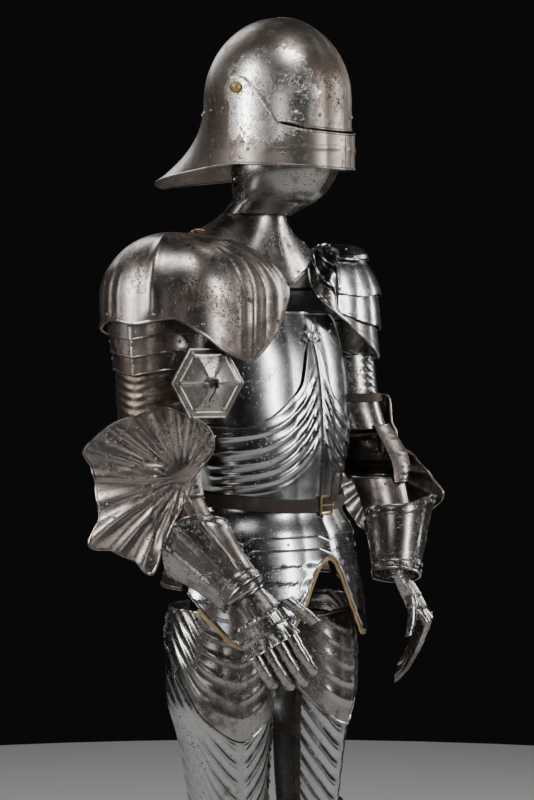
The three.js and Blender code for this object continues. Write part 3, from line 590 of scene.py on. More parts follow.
MATERIALS = dict(
    bright_steel=steel("bright_steel", colour(0.47, 0.475, 0.475), colour(0.20, 0.165, 0.14), 0.26, 0.12,
                       0.21),
    dull_steel=steel("dull_steel", colour(0.40, 0.37, 0.34), colour(0.15, 0.115, 0.09), 0.5, 0.4, 0.36,
                     rust=0.05),
    worn_steel=steel("worn_steel", colour(0.38, 0.365, 0.35), colour(0.135, 0.105, 0.085), 0.42, 0.36, 0.25,
                     rust=0.05),
    # The helmet's bright clean colour shows only inside its patch, a painted highlight at the front of the brow
    # on its right side; elsewhere the helmet is stained.
    helmet_steel=steel("helmet_steel", colour(0.84, 0.81, 0.75), colour(0.16, 0.115, 0.09), 0.5, 0.45, 0.27,
                       highlight_patch=(-0.098, -0.092, 0.240, 0.080)),
    russet_steel=steel("russet_steel", colour(0.33, 0.29, 0.265), colour(0.125, 0.088, 0.068), 0.50, 0.5,
                       0.29, rust=0.10),
    brown_leather=leather("brown_leather", colour(0.028, 0.017, 0.011), colour(0.075, 0.045, 0.027)),
    ochre_leather=leather("ochre_leather", colour(0.33, 0.20, 0.08), colour(0.46, 0.32, 0.16)),
    brass=brass("brass", colour(0.60, 0.43, 0.17), colour(0.20, 0.14, 0.07)),
)


# ---------------------------------------------------------------- helmet: sallet with a pivoting visor
HEAD_Y, SKULL_SIDE, SKULL_DEPTH, SKULL_RIDGE = -33, 105, 131, 9
CROWN_HEIGHT, BROW_HEIGHT = 1800, 1665
TAIL_REACH, TAIL_SHARPNESS = 128, 7      # how far the tail stands out behind, and how soon that falls off
SKULL_RIM = even([(0, 1611), (30, 1616), (52, 1625), (60, 1625), (72, 1563), (110, 1557), (150, 1547), (180,
    1536)])
PIVOT_Y, PIVOT_HEIGHT = -44, 1680


def sallet(level, angle, lift=0.0):
    """Level runs from -1 at the rim, through 0 at the brow, to 1 at the crown."""
    a = np.radians(angle)
    rise, below = np.radians(90 * np.maximum(level, 0)), np.maximum(-level, 0)
    tail = TAIL_REACH * ((1 - np.cos(a)) / 2) ** TAIL_SHARPNESS * below**2
    shrink = np.cos(rise)
    x = np.sin(a) * ((SKULL_SIDE + lift) * shrink + tail * 0.5)
    y = HEAD_Y - np.cos(a) * ((SKULL_DEPTH + SKULL_RIDGE * spine(angle) + lift) * shrink + tail)
    high = BROW_HEIGHT + (CROWN_HEIGHT - BROW_HEIGHT + lift) * np.sin(rise)
    return np.stack([x, y, np.where(level > 0, high, lerp(BROW_HEIGHT, SKULL_RIM(angle), below))], -1)


def make_helmet():
    ridge = lambda angle: 1.2 * np.exp(-np.abs(wrapped(angle)) / 1.6)
    skull = Sheet(lambda a, u: sallet(2 * u - 1, a, ridge(a)), 0, 360, closed=True)
    lining = [a for a in range(20, 341, 16)]
    rivets = skull.studs([a for a in lining if abs(wrapped(a)) > 62], 0.42, 3.4)
    front_rivets = skull.studs([-40, -20, 20, 40], 0.20, 3.4)
    build("sallet_skull_plate", "sallet_skull", "helmet_steel",
          [skull.wall(180, 72), skull.border(0, 2.3, 260), rivets, front_rivets])
    top = even([(0, 1604), (30, 1609), (52, 1618), (60, 1640), (72, 1676), (84, 1697), (92, 1695)])
    bottom = even([(0, 1550), (45, 1555), (92, 1561)])
    lift = even([(0, 6), (60, 5), (92, 4)])

    def visor(a, u):
        height = lerp(bottom(a), top(a), u)
        above = np.degrees(np.arcsin(np.clip((height - BROW_HEIGHT) / (CROWN_HEIGHT - BROW_HEIGHT), -1,
                                             1))) / 90
        below = (height - BROW_HEIGHT) / (BROW_HEIGHT - SKULL_RIM(a))
        fold = 1.8 * np.exp(-(((height - 1583) / 4.0) ** 2)) * window(np.abs(wrapped(a)), -1, 70, 10)
        point = sallet(np.maximum(np.where(height > BROW_HEIGHT, above, below), -1), a,
                       lift(a) + fold + ridge(a))
        point[..., 2] = height
        return point

    sheet = Sheet(visor, -92, 92)
    build("sallet_visor_plate", "sallet_visor", "helmet_steel",
          [sheet.wall(150, 26), sheet.border(0, 2.4), sheet.border(1, 2.0), sheet.studs([-76, 76],
              [0.18, 0.18], 3.2),
           sheet.studs([-50, 50], [0.3, 0.3], 3.0)], body=VISOR)
    for side, sign in (("right", -1), ("left", 1)):
        out = np.array([sign, 0, 0])
        at = np.array([sign * (SKULL_SIDE + 7.0), PIVOT_Y, PIVOT_HEIGHT])
        rosette = [together(studs([at], [out], 9.5, 18)),
                   tube([at + out * 1.0 + 7.0 * np.array([0, math.cos(t), math.sin(t)])
                         for t in np.linspace(0, 2 * math.pi, 25)[:-1]], 1.5, closed=True),
                   studs([at + out * 5.5], [out], 3.6)]
        build(f"visor_pivot_{side}_rosette", f"visor_pivot_{side}", "brass", rosette)


# ---------------------------------------------------------------- bevor: chin plate and collar
CHIN = sections("y side front back ridge", [
    (1592, -38, 88, 108, 74, 5), (1556, -38, 86, 104, 74, 6), (1522, -34, 78, 86, 68, 5), (1503, -22, 70,
        72, 60, 4),
    (1494, -4, 65, 65, 55, 3), (1483, 14, 60, 58, 51, 1), (1476, 21, 58, 54, 49, 0),
])
CHIN_FOOT = 1483
NECK = dict(height=1485, y=22, side=57, front=53, back=48)
COLLAR = dict(y=22, side=112, front=82, back=92)
COLLAR_EDGE = even([(0, 1371), (45, 1409), (90, 1446), (180, 1460)])


def collar(angle, share, lift=0.0):
    a, out = np.radians(angle), share**1.35
    front = np.cos(a) > 0
    depth = lerp(np.where(front, NECK["front"], NECK["back"]), np.where(front, COLLAR["front"],
        COLLAR["back"]), out)
    depth = depth + lift + 6 * share * spine(angle)
    x = np.sin(a) * (lerp(NECK["side"], COLLAR["side"], out) + lift)
    return np.stack([x, NECK["y"] - np.cos(a) * depth, lerp(NECK["height"], COLLAR_EDGE(angle), share)], -1)


def make_bevor():
    top = even([(0, 1592), (60, 1590), (100, 1576), (128, 1560)])
    crease = lambda h: 1.6 * np.exp(-(((h - 1566) / 3.5) ** 2))
    surface = lambda a, u: CHIN(lerp(CHIN_FOOT, top(a), u), a, crease(lerp(CHIN_FOOT, top(a), u)))
    chin = Sheet(surface, -128, 128)
    build("bevor_upper_plate", "bevor_upper", "worn_steel",
          [chin.wall(130, 60), chin.border(1, 2.4), chin.side_border(-128, 2.0, end=0.9),
           chin.side_border(128, 2.0, end=0.9), chin.studs([-112, 112], [0.62, 0.62], 3.4)])
    spread_collar = Sheet(lambda a, u: collar(a, 1 - u), 0, 360, closed=True)
    rivets = spread_collar.studs([a for a in range(15, 360, 30)], 0.06, 2.8)
    build("bevor_collar_plate", "bevor_collar", "worn_steel",
          [spread_collar.wall(150, 26), spread_collar.border(0, 2.4, 220), rivets])


# ---------------------------------------------------------------- body
TORSO = sections("side front back ridge", [
    (1400, 132, 52, 86, 4), (1323, 148, 80, 100, 6), (1246, 163, 106, 108, 8), (1180, 168, 114, 108, 9),
    (1114, 160, 117, 98, 9), (1050, 142, 113, 86, 8), (1012, 136, 112, 84, 7), (966, 160, 130, 110, 7),
    (918, 174, 142, 138, 7), (852, 187, 151, 156, 5), (786, 194, 155, 165, 4),
])
WAIST_HEIGHT = 1018
BREAST_TOP = even([(0, 1323), (36, 1323), (50, 1312), (68, 1240), (87, 1195)])
PLACKART_TOP = even([(0, 1284), (5, 1262), (11, 1206), (20, 1178), (34, 1152), (50, 1141), (87, 1146)])
# Each row is a crease that climbs to the middle of the chest: its height at the side, and how far it climbs.
PLACKART_CREASES = [(1146, 118), (1124, 115), (1101, 112), (1079, 109), (1062, 102), (1046, 90), (1030, 76)]
ARCH = even([(0, 937), (5, 931), (11, 908), (20, 852), (34, 804), (50, 800), (68, 836), (87, 880)])


def on_torso(top, bottom, lift=0.0, relief=None):
    edge = lambda value, angle: value(angle) if callable(value) else value

    def surface(a, u):
        height = lerp(edge(bottom, a), edge(top, a), u)
        return TORSO(height, a, lift + (relief(a, height, u) if relief else 0.0))

    return surface


def plackart_relief(angle, height, up):
    rise = np.exp(-np.abs(wrapped(angle)) / 15.0)
    count = between_lines(height, [base + climb * rise for base, climb in PLACKART_CREASES])
    shown = window(np.abs(wrapped(angle)), 1.5, 80, 5) * window(count, 0.0, 6.0, 0.4)
    return 2.3 * cords(count, 3.0) * shown + 1.5 * np.exp(-np.abs(wrapped(angle)) / 1.4)


# The backplate's height at its sides, and how far its middle rises above that.
BACK_SIDE, BACK_RISE = 1195, 185


def back_top(angle):
    return BACK_SIDE + BACK_RISE * np.clip(np.sin(np.radians((angle - 93) / 174 * 180)), 0, 1) ** 0.7


def make_breast():
    ridge = lambda a, h, u: 1.5 * np.exp(-np.abs(wrapped(a)) / 1.5)
    breast = Sheet(on_torso(BREAST_TOP, WAIST_HEIGHT + 8, relief=ridge), -87, 87)
    sides = [breast.side_border(s * 87, 2.6, start=0.1) for s in (-1, 1)]
    build("breastplate_plate", "breastplate", "bright_steel",
          [breast.wall(120, 60), breast.border(1, 3.6), *sides, breast.studs([-30, 30], 0.90, 3.4)])
    plackart = Sheet(on_torso(PLACKART_TOP, WAIST_HEIGHT, 2 * LAP, plackart_relief), -87, 87)
    tip = plackart.at(0, 0.985)
    out = plackart.normal(2.0, 0.95) * np.array([0, 1, 1])
    build("plackart_plate", "plackart", "bright_steel",
          [plackart.wall(170, 96), plackart.border(1, 1.8, 200), plackart.studs([-70, 70], 0.88, 3.2),
           *finial(tip, unit(out))])
    back = Sheet(on_torso(back_top,
                          WAIST_HEIGHT, relief=lambda a, h, u: 2.0 * cords((a - 180) / 14.0, 3)
                          * window(np.abs(a - 180), -1, 46, 6) * window(u, 0.04, 0.8, 0.15)), 93, 267)
    build("backplate_plate", "backplate", "worn_steel",
          [back.wall(150, 50), back.border(1, 2.6), back.studs(np.arange(100, 261, 20), 0.05, 3.0)])


def finial(base, out):
    """A small pierced ornament at the plackart's tip: two rings and a spear point over a collar bar."""
    side, up = np.array([1.0, 0, 0]), np.array([0, 0, 1.0])
    base = base + out * 2.0
    turns = np.linspace(0, 2 * math.pi, 25)[:-1]
    loops = [tube([base + side * (s * 8 + 6.5 * math.cos(t)) + up * (5 + 6.5 * math.sin(t)) for t in turns],
                  1.9, True)
             for s in (-1, 1)]
    top = tube([base + side * 5.2 * math.cos(t) + up * (17 + 8.5 * math.sin(t)) for t in turns], 1.9, True)
    point = tube([base + up * 24, base + up * 30, base + up * 36], np.array([3.2, 2.2, 0.3]))
    bar = tube([base - side * 13 - up * 3, base - up * 4.5, base + side * 13 - up * 3], 2.4)
    return [*loops, top, point, bar, studs([base - up * 4], [out], 4.2)]


def cusps(angles, depth, spread):
    """Small points that an edge makes at those angles."""
    return lambda a: sum(depth * np.maximum(0, 1 - np.abs(wrapped(a - at)) / spread) for at in angles)


def make_skirt():
    point = cusps([-54, 0, 54], 9, 7)
    rows = [("fauld_1", 1016, lambda a: 966 - point(a), 2 * LAP), ("fauld_2", 974, lambda a: 946 - point(a),
                                                                   LAP),
            ("fauld_3", 954, ARCH, 0.0)]
    for name, top, bottom, lift in rows:
        relief = None
        if name == "fauld_3":
            relief = lambda a, h, u: 2.2 * (1 - (((h + point(a) - 948) / 27.0) % 1.0)) * window(h, 700, 946,
                3)
        sheet = Sheet(on_torso(top, bottom, lift, relief), -87, 87)
        high = 60 if name == "fauld_3" else 10
        bits = [sheet.wall(150, high), sheet.border(0, 1.9 if name != "fauld_3" else 2.6, 220)]
        bits.append(sheet.studs([-80, -54, -26, 26, 54, 80], 0.32 if name != "fauld_3" else 0.93, 2.6))
        extra = []
        if name == "fauld_3":
            strip = [(a, 0.035) for a in np.linspace(-78, 78, 60)]
            extra = [("ochre_leather", [hem_strip(sheet, strip)])]
        build(f"{name}_plate", name, "bright_steel", bits, extra=extra)
    for name, top, bottom, lift in (("culet_1", 1016, 966, 2 * LAP), ("culet_2", 974, 936, LAP), ("culet_3",
        944, 884, 0)):
        flutes = lambda a, h, u: 1.6 * cords((a - 180) / 12.0, 3) * window(np.abs(a - 180), -1, 66,
            6) * window(u, 0.1, 1.2, 0.2)
        sheet = Sheet(on_torso(top, bottom, lift, flutes if name == "culet_3" else None), 93, 267)
        build(f"{name}_plate", name, "worn_steel",
              [sheet.wall(150, 14), sheet.border(0, 2.0 if name != "culet_3" else 3.0, 200),
               sheet.studs(np.arange(100, 261, 20), 0.3, 2.6)])


def hem_strip(sheet, places, width=15.0):
    """A leather strip that shows just inside a plate's lower edge."""
    places = np.array(places)
    normal = sheet.normal(places[:, 0], places[:, 1])
    line = sheet.at(places[:, 0], np.zeros(len(places))) - normal * (STEEL + 2.5) - np.array([0, 0, 1.0])
    return ribbon(line, normal, width, 2.0)


# The belt's middle in front, how much higher it is behind, and its width.
BELT_FRONT, BELT_CLIMB, BELT_WIDTH = 1014, 28, 21


def make_belt():
    middle = lambda a: BELT_FRONT + BELT_CLIMB * (1 - np.cos(np.radians(a))) / 2
    belt = Sheet(lambda a, u: TORSO(middle(a) + (u - 0.5) * BELT_WIDTH, a, 12 - 0.8 * (2 * u - 1) ** 6), 0, 360,
                 closed=True)
    stitches = [belt.studs(np.arange(2, 360, 4), u, 0.7) for u in (0.14, 0.86)]
    build("waist_belt_strap", "waist_belt", "brown_leather", [belt.wall(120, 8, 3.0), *stitches])
    at = belt.at(3, 0.5)
    out = np.array([0.0, -1.0, 0.0])
    frame_bits = [buckle(at + out * 3.6, out, np.array([1.0, 0, 0]), 29, 28, 2.0)]
    tail = [at + np.array([14 + 3 * t, -4.0, 6 + 30 * t]) + out * 2.0 * math.sin(3 * t)
            for t in np.linspace(0, 1, 16)]
    build("belt_buckle_frame", "belt_buckle", "brass", frame_bits,
          extra=[("brown_leather", [ribbon(np.array(tail), out, np.linspace(19, 12, 16), 2.2)])])


# ---------------------------------------------------------------- shoulders
SKIRT_SHARE = 0.35


def shoulder(x, y, top, widest, outward, rows, smooth_top=None):
    """A dome over a shoulder. Rows give a direction, how far the dome reaches there and how low it comes."""
    reaches = Curve([(angle, reach) for angle, reach, _ in rows], around=True)
    lows = Curve([(angle, low) for angle, _, low in rows], around=True)

    def form(share, angle, lift=0.0):
        reach, low = reaches(angle) + lift, lows(angle)
        if smooth_top:
            blend = np.clip((share - 0.72) / 0.28, 0, 1) ** 0.7
            reach, low = lerp(reach, smooth_top[0] + lift, blend), lerp(low, smooth_top[1], blend)
        hangs = low < widest
        arc = np.where(hangs, 90.0, np.degrees(np.arccos(np.clip((low - widest) / (top - widest), -1, 1))))
        upper = np.where(hangs, np.maximum(0, (share - SKIRT_SHARE) / (1 - SKIRT_SHARE)), share)
        hanging = np.where(hangs, (widest - low) * np.maximum(0, 1 - share / SKIRT_SHARE), 0.0)
        tilt, a = np.radians(arc * (1 - upper)), np.radians(angle)
        high = widest - hanging + (top + lift - widest) * np.cos(tilt)
        return np.stack([x + outward * np.sin(a) * reach * np.sin(tilt),
                         y - np.cos(a) * reach * np.sin(tilt), high], -1)

    return form


SHOULDER_RIGHT = shoulder(-208, 5, 1449, 1345, -1, [
    (0, 122, 1262), (20, 114, 1290), (45, 104, 1314), (78, 104, 1306), (105, 107, 1312), (135, 110, 1300),
    (180, 118, 1288), (208, 150, 1300), (232, 188, 1366), (250, 200, 1424), (270, 188, 1438), (290, 145,
        1412),
    (307, 190, 1366), (320, 164, 1290), (341, 135, 1250),
])
SHOULDER_LEFT = shoulder(205, 5, 1431, 1325, 1, [
    (0, 70, 1268), (30, 66, 1254), (60, 68, 1247), (90, 71, 1247), (135, 74, 1262), (180, 80, 1285),
    (215, 118, 1318), (238, 150, 1378), (270, 205, 1422), (285, 168, 1398), (301, 196, 1345), (312, 150,
        1315),
    (328, 100, 1290),
], smooth_top=(104, 1330))


def make_right_shoulder():
    def relief(a, u):
        front = cords((a - 289) / 10.0, 2.2) * window(a, 284, 352, 8) * window(u, -0.1, 0.90, 0.34)
        rear = cords((a - 96) / 13.0, 2.6) * window(a, 94, 190, 8) * window(u, -0.1, 0.62, 0.2)
        fold = 4.0 * np.exp(-((wrapped(a - 62) / 6.0) ** 2)) * window(u, -0.1, 0.94, 0.3)
        return 3.2 * front + 2.4 * rear + fold

    dome = Sheet(lambda a, u: SHOULDER_RIGHT(u, a, relief(a, u)), 360, 0, closed=True)
    strap = dome.strap([(296, 0.52), (290, 0.60), (282, 0.66)], 13, 2.2, clear=2.4)
    build("pauldron_right_plate", "pauldron_right", "russet_steel",
          [dome.wall(260, 84), dome.border(0, 3.0, 300), dome.studs([300, 318, 338, 20, 60, 110, 160], 0.09,
                                                                    3.0)],
          extra=[("brown_leather", [strap]), ("brass", [dome.buckle(289, 0.60, (-4, 0.03), 17, 15, 5.0)])])


def make_left_shoulder():
    lames = [(0.72, 1.0), (0.46, 0.76), (0.22, 0.5), (0.0, 0.26)]
    for index, (low, high) in enumerate(lames):
        lift, tuck = (len(lames) - 1 - index) * LAP, 0 if index == 0 else 5

        def surface(a, u, low=low, high=high, lift=lift, tuck=tuck, index=index):
            flutes = 1.2 * np.exp(-((u - 0.12) / 0.05) ** 2)
            wave = 0.010 * np.sin(np.radians(a * 4)) * (1 - u) * (1 if index < 3 else 0)
            return SHOULDER_LEFT(np.maximum(lerp(low, high, u) + wave, 0), a, lift - tuck * u + flutes)

        sheet = Sheet(surface, 0, 360, closed=True)
        rows = (26, 16, 16, 16)[index]
        build(f"pauldron_left_lame_{index + 1}_plate", f"pauldron_left_lame_{index + 1}",
              "bright_steel" if index < 3 else "worn_steel",
              [sheet.wall(200, rows), sheet.border(0, 1.3 if index < 3 else 2.8, 240),
               sheet.studs([90, 214, 322], 0.4, 2.4)])


# ---------------------------------------------------------------- arms
ARM_RIGHT = sections("x y side front back", [
    (1330, -222, 18, 76, 80, 74), (1255, -227, 17, 70, 74, 70), (1180, -232, 16, 65, 68, 65),
    (1120, -238, 12, 60, 62, 60), (1085, -240, 4, 58, 62, 60), (1040, -236, -18, 52, 60, 56),
    (985, -224, -56, 44, 52, 48), (893, -198, -136, 32, 36, 34),
])
ARM_LEFT = sections("x y side front back", [
    (1300, 216, 15, 53, 58, 54), (1180, 226, 5, 55, 57, 56), (1120, 234, -12, 52, 56, 54),
    (1085, 234, -30, 52, 58, 56), (1040, 220, -66, 46, 52, 50), (985, 200, -102, 42, 46, 44),
    (893, 162, -148, 32, 36, 34),
])
CHEVRON_ANGLE, CHEVRON_DROP = -78, 9


def make_arms():
    drop = lambda a: CHEVRON_DROP * np.maximum(0, 1 - np.abs(a - CHEVRON_ANGLE) / 40)
    for index, (top, bottom) in enumerate([(1328, 1290), (1298, 1262), (1270, 1234)]):
        lift = (2 - index) * LAP
        ridge = lambda a: 1.8 * np.exp(-np.abs(a - CHEVRON_ANGLE) / 3.0)
        surface = lambda a, u, t=top, b=bottom, l=lift: ARM_RIGHT(lerp(b - drop(a), t, u), a, l + ridge(a))
        sheet = Sheet(surface, CHEVRON_ANGLE - 120, CHEVRON_ANGLE + 120)
        build(f"pauldron_right_lame_{index + 1}_plate", f"pauldron_right_lame_{index + 1}", "russet_steel",
              [sheet.wall(110, 10), sheet.border(0, 1.9, 140),
               sheet.studs([-190, -140, -78, -20, 32], 0.45, 2.8)])
    rows = [("rerebrace_right", "russet_steel", ARM_RIGHT, 1242, 1128, -78),
            ("vambrace_right", "russet_steel", ARM_RIGHT, 1046, 952, -60),
            ("rerebrace_left", "worn_steel", ARM_LEFT, 1250, 1128, 60),
            ("vambrace_left", "russet_steel", ARM_LEFT, 1046, 970, 60)]
    for name, finish, form, top, bottom, middle in rows:
        upper = name.startswith("rere")

        def relief(a, h, middle=middle, upper=upper, top=top):
            away = np.abs(wrapped(a - middle))
            if not upper:
                return 1.6 * cords(wrapped(a - middle) / 22.0, 3) * window(away, -1, 58, 8)
            count = (top - 14 - h + away * 0.34) / 13.0
            return 1.8 * cords(count, 2.2) * window(count, 0.3, 5.6, 0.5) * window(away, -1, 80, 10)

        surface = lambda a, u, f=form, t=top, b=bottom, r=relief: f(lerp(b, t, u), a, -5 + r(a,
            lerp(b, t, u)))
        sheet = Sheet(surface, 0, 360, closed=True)
        strap = ribbon(sheet.at(np.linspace(0, 360, 61), 0.42) + 1.2 * sheet.normal(np.linspace(0, 360, 61),
            0.42),
                       sheet.normal(np.linspace(0, 360, 61), 0.42), 15, 2.2)
        extra = [("brown_leather", [strap])] if name == "rerebrace_left" else []
        build(f"{name}_plate", name, finish,
              [sheet.wall(130, 52), sheet.border(0, 2.0, 120), sheet.border(1, 2.0, 120),
               sheet.studs([middle - 100, middle + 100, middle + 150], 0.88, 2.8)], extra=extra)
    make_couter("right", ARM_RIGHT, -215, 20, -78, WING_RIGHT,
                dict(x=-285, y=-34, height=1060, facing=-53, dome=14, flare=0.3))
    make_couter("left", ARM_LEFT, -20, 215, 78, WING_LEFT, dict(x=284, y=-12, height=1052, facing=90,
                                                                dome=12))


WING_RIGHT = [(0, 57), (17, 74), (34, 112), (48, 120), (62, 117), (81, 118), (101, 105), (122, 110), (141,
    114),
              (156, 120), (166, 101), (180, 91), (197, 91), (213, 99), (225, 135), (240, 117), (257, 118),
              (270, 136), (281, 94), (301, 66), (330, 56)]
WING_LEFT = [(20, 96), (60, 110), (84, 128), (98, 131), (112, 88), (137, 68), (165, 88), (183, 117), (194,
    148),
             (205, 136), (226, 112), (255, 96), (285, 108), (315, 96), (345, 104)]


def disc(x, y, height, facing, dome, reach, flare=0.0, relief=None):
    """A domed plate in an upright plane. Direction 0 is level, to the right from outside, and 90 is up."""
    f = math.radians(facing)
    out, level = np.array([math.sin(f), -math.cos(f), 0]), np.array([math.cos(f), math.sin(f), 0])

    def surface(a, u):
        share, r = 1 - u, np.radians(a)
        far = reach(a) * share
        rise = dome * (1 - share**2) + flare * np.maximum(0, -np.sin(r)) * far + (relief(a,
            share) if relief else 0)
        middle = np.array([x, y, height])
        return (middle + level * (np.cos(r) * far)[..., None] + out * rise[..., None]
                + np.array([0, 0, 1.0]) * (np.sin(r) * far)[..., None])

    return surface


ELBOW_BOTTOM, ELBOW_TOP = 1041, 1133


def make_couter(side, form, start, end, middle, outline, wing):
    reach = Curve(outline, around=True)
    flutes = 22 if side == "right" else 18

    gather = (46.0, 10.0) if side == "right" else (0.0, 0.0)      # where the flutes run together

    def relief(a, share):
        far, r = reach(a) * share, np.radians(a)
        x, y = far * np.cos(r) - gather[0], far * np.sin(r) - gather[1]
        turn, away = np.degrees(np.arctan2(y, x)), np.hypot(x, y)
        return 3.4 * cords(turn / 360.0 * flutes, 1.6) * window(away, 12, 400, 40)

    fan = Sheet(disc(reach=reach, relief=relief, **wing), 0, 360, closed=True)

    def cop_surface(a, u):
        height = lerp(ELBOW_BOTTOM, ELBOW_TOP, u)
        point = 7.0 * np.exp(-((wrapped(a - middle) / 18.0) ** 2)) * np.sin(math.pi * u) ** 3
        fold = 2.2 * np.exp(-(((u - 0.5) / 0.035) ** 2)) + 1.6 * cords((u - 0.5) * 9,
            3) * window(np.abs(u - 0.5), 0.16, 0.46, 0.05)
        return form(height, a, 1 + 12 * np.sin(math.pi * u) + point + fold
                    * window(np.abs(wrapped(a - middle)), -1, 95, 20))

    cop = Sheet(cop_surface, start, end)
    build(f"couter_{side}_plate", f"couter_{side}", "russet_steel",
          [fan.wall(264, 40), fan.border(0, 2.4, 360), cop.wall(110, 44), cop.border(0, 2.2), cop.border(1,
              2.2),
           fan.studs(np.arange(8, 360, 360 / flutes * 2), 0.16, 2.4),
           cop.studs([middle - 70, middle + 70], [0.12, 0.12], 3.0)])


def make_besagew():
    def reach(a):
        return 61 * math.cos(math.radians(30)) / np.cos(np.radians((np.asarray(a) - 0.0) % 60.0 - 30.0))

    def relief(a, share):
        edge = 1.4 * np.exp(-(((share - 0.86) / 0.03) ** 2))
        return edge + 1.4 * cords(a / 60.0, 30) * window(share, 0.1, 0.84, 0.06) + 5.0 * np.maximum(0,
            0.2 - share) * 5

    plate = Sheet(disc(-226, -92, 1214, -21, 14, reach, relief=relief), 0, 360, closed=True)
    f = math.radians(-21)
    out, level = np.array([math.sin(f), -math.cos(f), 0]), np.array([math.cos(f), math.sin(f), 0])
    middle = np.array([-226, -92, 1214]) + out * 21
    knot = [tube([middle + out * (2 + 2.0 * math.sin(2 * t)) + level * 6 * math.cos(t + s)
                  + np.array([0, 0, 6.0]) * math.sin(2 * t + s) for t in np.linspace(0, 2 * math.pi,
                      33)[:-1]], 1.5, True)
            for s in (0.0, 1.6)]
    lace = tube([middle + out * 3 + np.array([0, 0, -2.0 - 26 * t]) + level * (3 * math.sin(5 * t) - 6 * t)
                 for t in np.linspace(0, 1, 14)], 1.3)
    build("besagew_right_plate", "besagew_right", "dull_steel",
          [plate.wall(144, 34), plate.border(0, 2.0, 144), plate.studs(np.arange(0, 360, 60), 0.24, 2.6)],
          extra=[("brown_leather", [*knot, lace])])


# ---------------------------------------------------------------- gauntlets
FINGER_PITCH, FINGER_HALF = 21, 9.6
FINGERS = [("index", 74), ("middle", 82), ("ring", 76), ("little", 60)]
CUFF_LENGTH, CUFF_TONGUE = 100, 38


def hand_frame(wrist, knuckles, facing):
    start, end = np.array(wrist, float), np.array(knuckles, float)
    length = np.linalg.norm(end - start)
    forward = (end - start) / length
    back = np.array([math.sin(math.radians(facing)), -math.cos(math.radians(facing)), 0.0])
    back = unit(back - forward * np.dot(back, forward))
    return dict(start=start, length=length, forward=forward, back=back, across=-np.cross(forward, back))


def arch(frame_, rows, half_arc, relief=None):
    """An arched plate: rows are (distance along the hand, half width, rise) from its far end to the wrist."""
    share = np.linspace(0, 1, len(rows))
    along, half, rise = (np.array([row[i] for row in rows], float) for i in range(3))

    def surface(a, u):
        at = lambda values: np.interp(u, share, values)[..., None]
        r = np.radians(a)
        lift = relief(a, u) if relief else 0.0
        middle = frame_["start"] + frame_["forward"] * at(along)
        return (middle + frame_["across"] * np.sin(r)[..., None] * (at(half) + np.asarray(lift)[..., None])
                + frame_["back"] * np.cos(r)[..., None] * (at(rise) + np.asarray(lift)[..., None]))

    return Sheet(surface, -half_arc, half_arc)


def finger_bits(frame_, start, length, aim, half=FINGER_HALF, curl=34.0, lames=5):
    bits = []
    for lame in range(lames):
        low, high = (lame + 1.12) / lames if lame < lames - 1 else 1.0, lame / lames
        lift = (0.9 if lame % 2 == 0 else 0.0) + (lames - lame) * 0.12

        def surface(a, u, low=low, high=high, lift=lift):
            share = lerp(low, high, u)
            turn = np.radians(curl * share / 2)
            tip = np.sqrt(np.clip((1 - share) / 0.10, 0, 1)) if high > 0.75 else 1.0
            size = (half * (1 - 0.22 * share**2) + lift + 0.9
                    * np.exp(-(((u - 0.06) / 0.08) ** 2))) * np.maximum(tip, 0.02)
            r = np.radians(a)
            middle = (start + aim * (length * share * np.cos(turn))[..., None]
                      - frame_["back"] * (length * share * np.sin(turn))[..., None])
            return (middle + frame_["across"] * (np.sin(r) * size)[..., None]
                    + frame_["back"] * (np.cos(r) * (size + 2))[..., None])

        bits.append(Sheet(surface, -100, 100).wall(22, 8 if lame < lames - 1 else 12, 1.2))
    return bits


def cuff_bell(f, elbow, half_arc, wrist, mouth):
    """A bell about the forearm. Angle 0 is over the back of the hand, where its mouth has a tongue."""
    axis = unit(np.array(elbow, float) - f["start"])
    up = unit(f["back"] - axis * np.dot(axis, f["back"]))
    side = np.cross(axis, up)

    def surface(a, u):
        r = np.radians(a)
        t = a / 34.0
        flutes = 3.0 * cords(t, 5) * window(np.abs(t), -1, 1.5, 0.3) * window(u, 0.14, 1.4, 0.25)
        rolled = 1.6 * np.exp(-(((u - 0.10) / 0.03) ** 2)) + 1.2 * np.exp(-(((u - 0.90) / 0.02) ** 2))
        radius = lerp(wrist, mouth, u**1.6) + flutes + rolled
        far = 6 + (CUFF_LENGTH + CUFF_TONGUE * np.maximum(0, np.cos(r)) ** 2) * u
        return (f["start"] + axis * far[..., None] + up * (np.cos(r) * radius)[..., None]
                + side * (np.sin(r) * radius)[..., None])

    return Sheet(surface, -half_arc, half_arc)


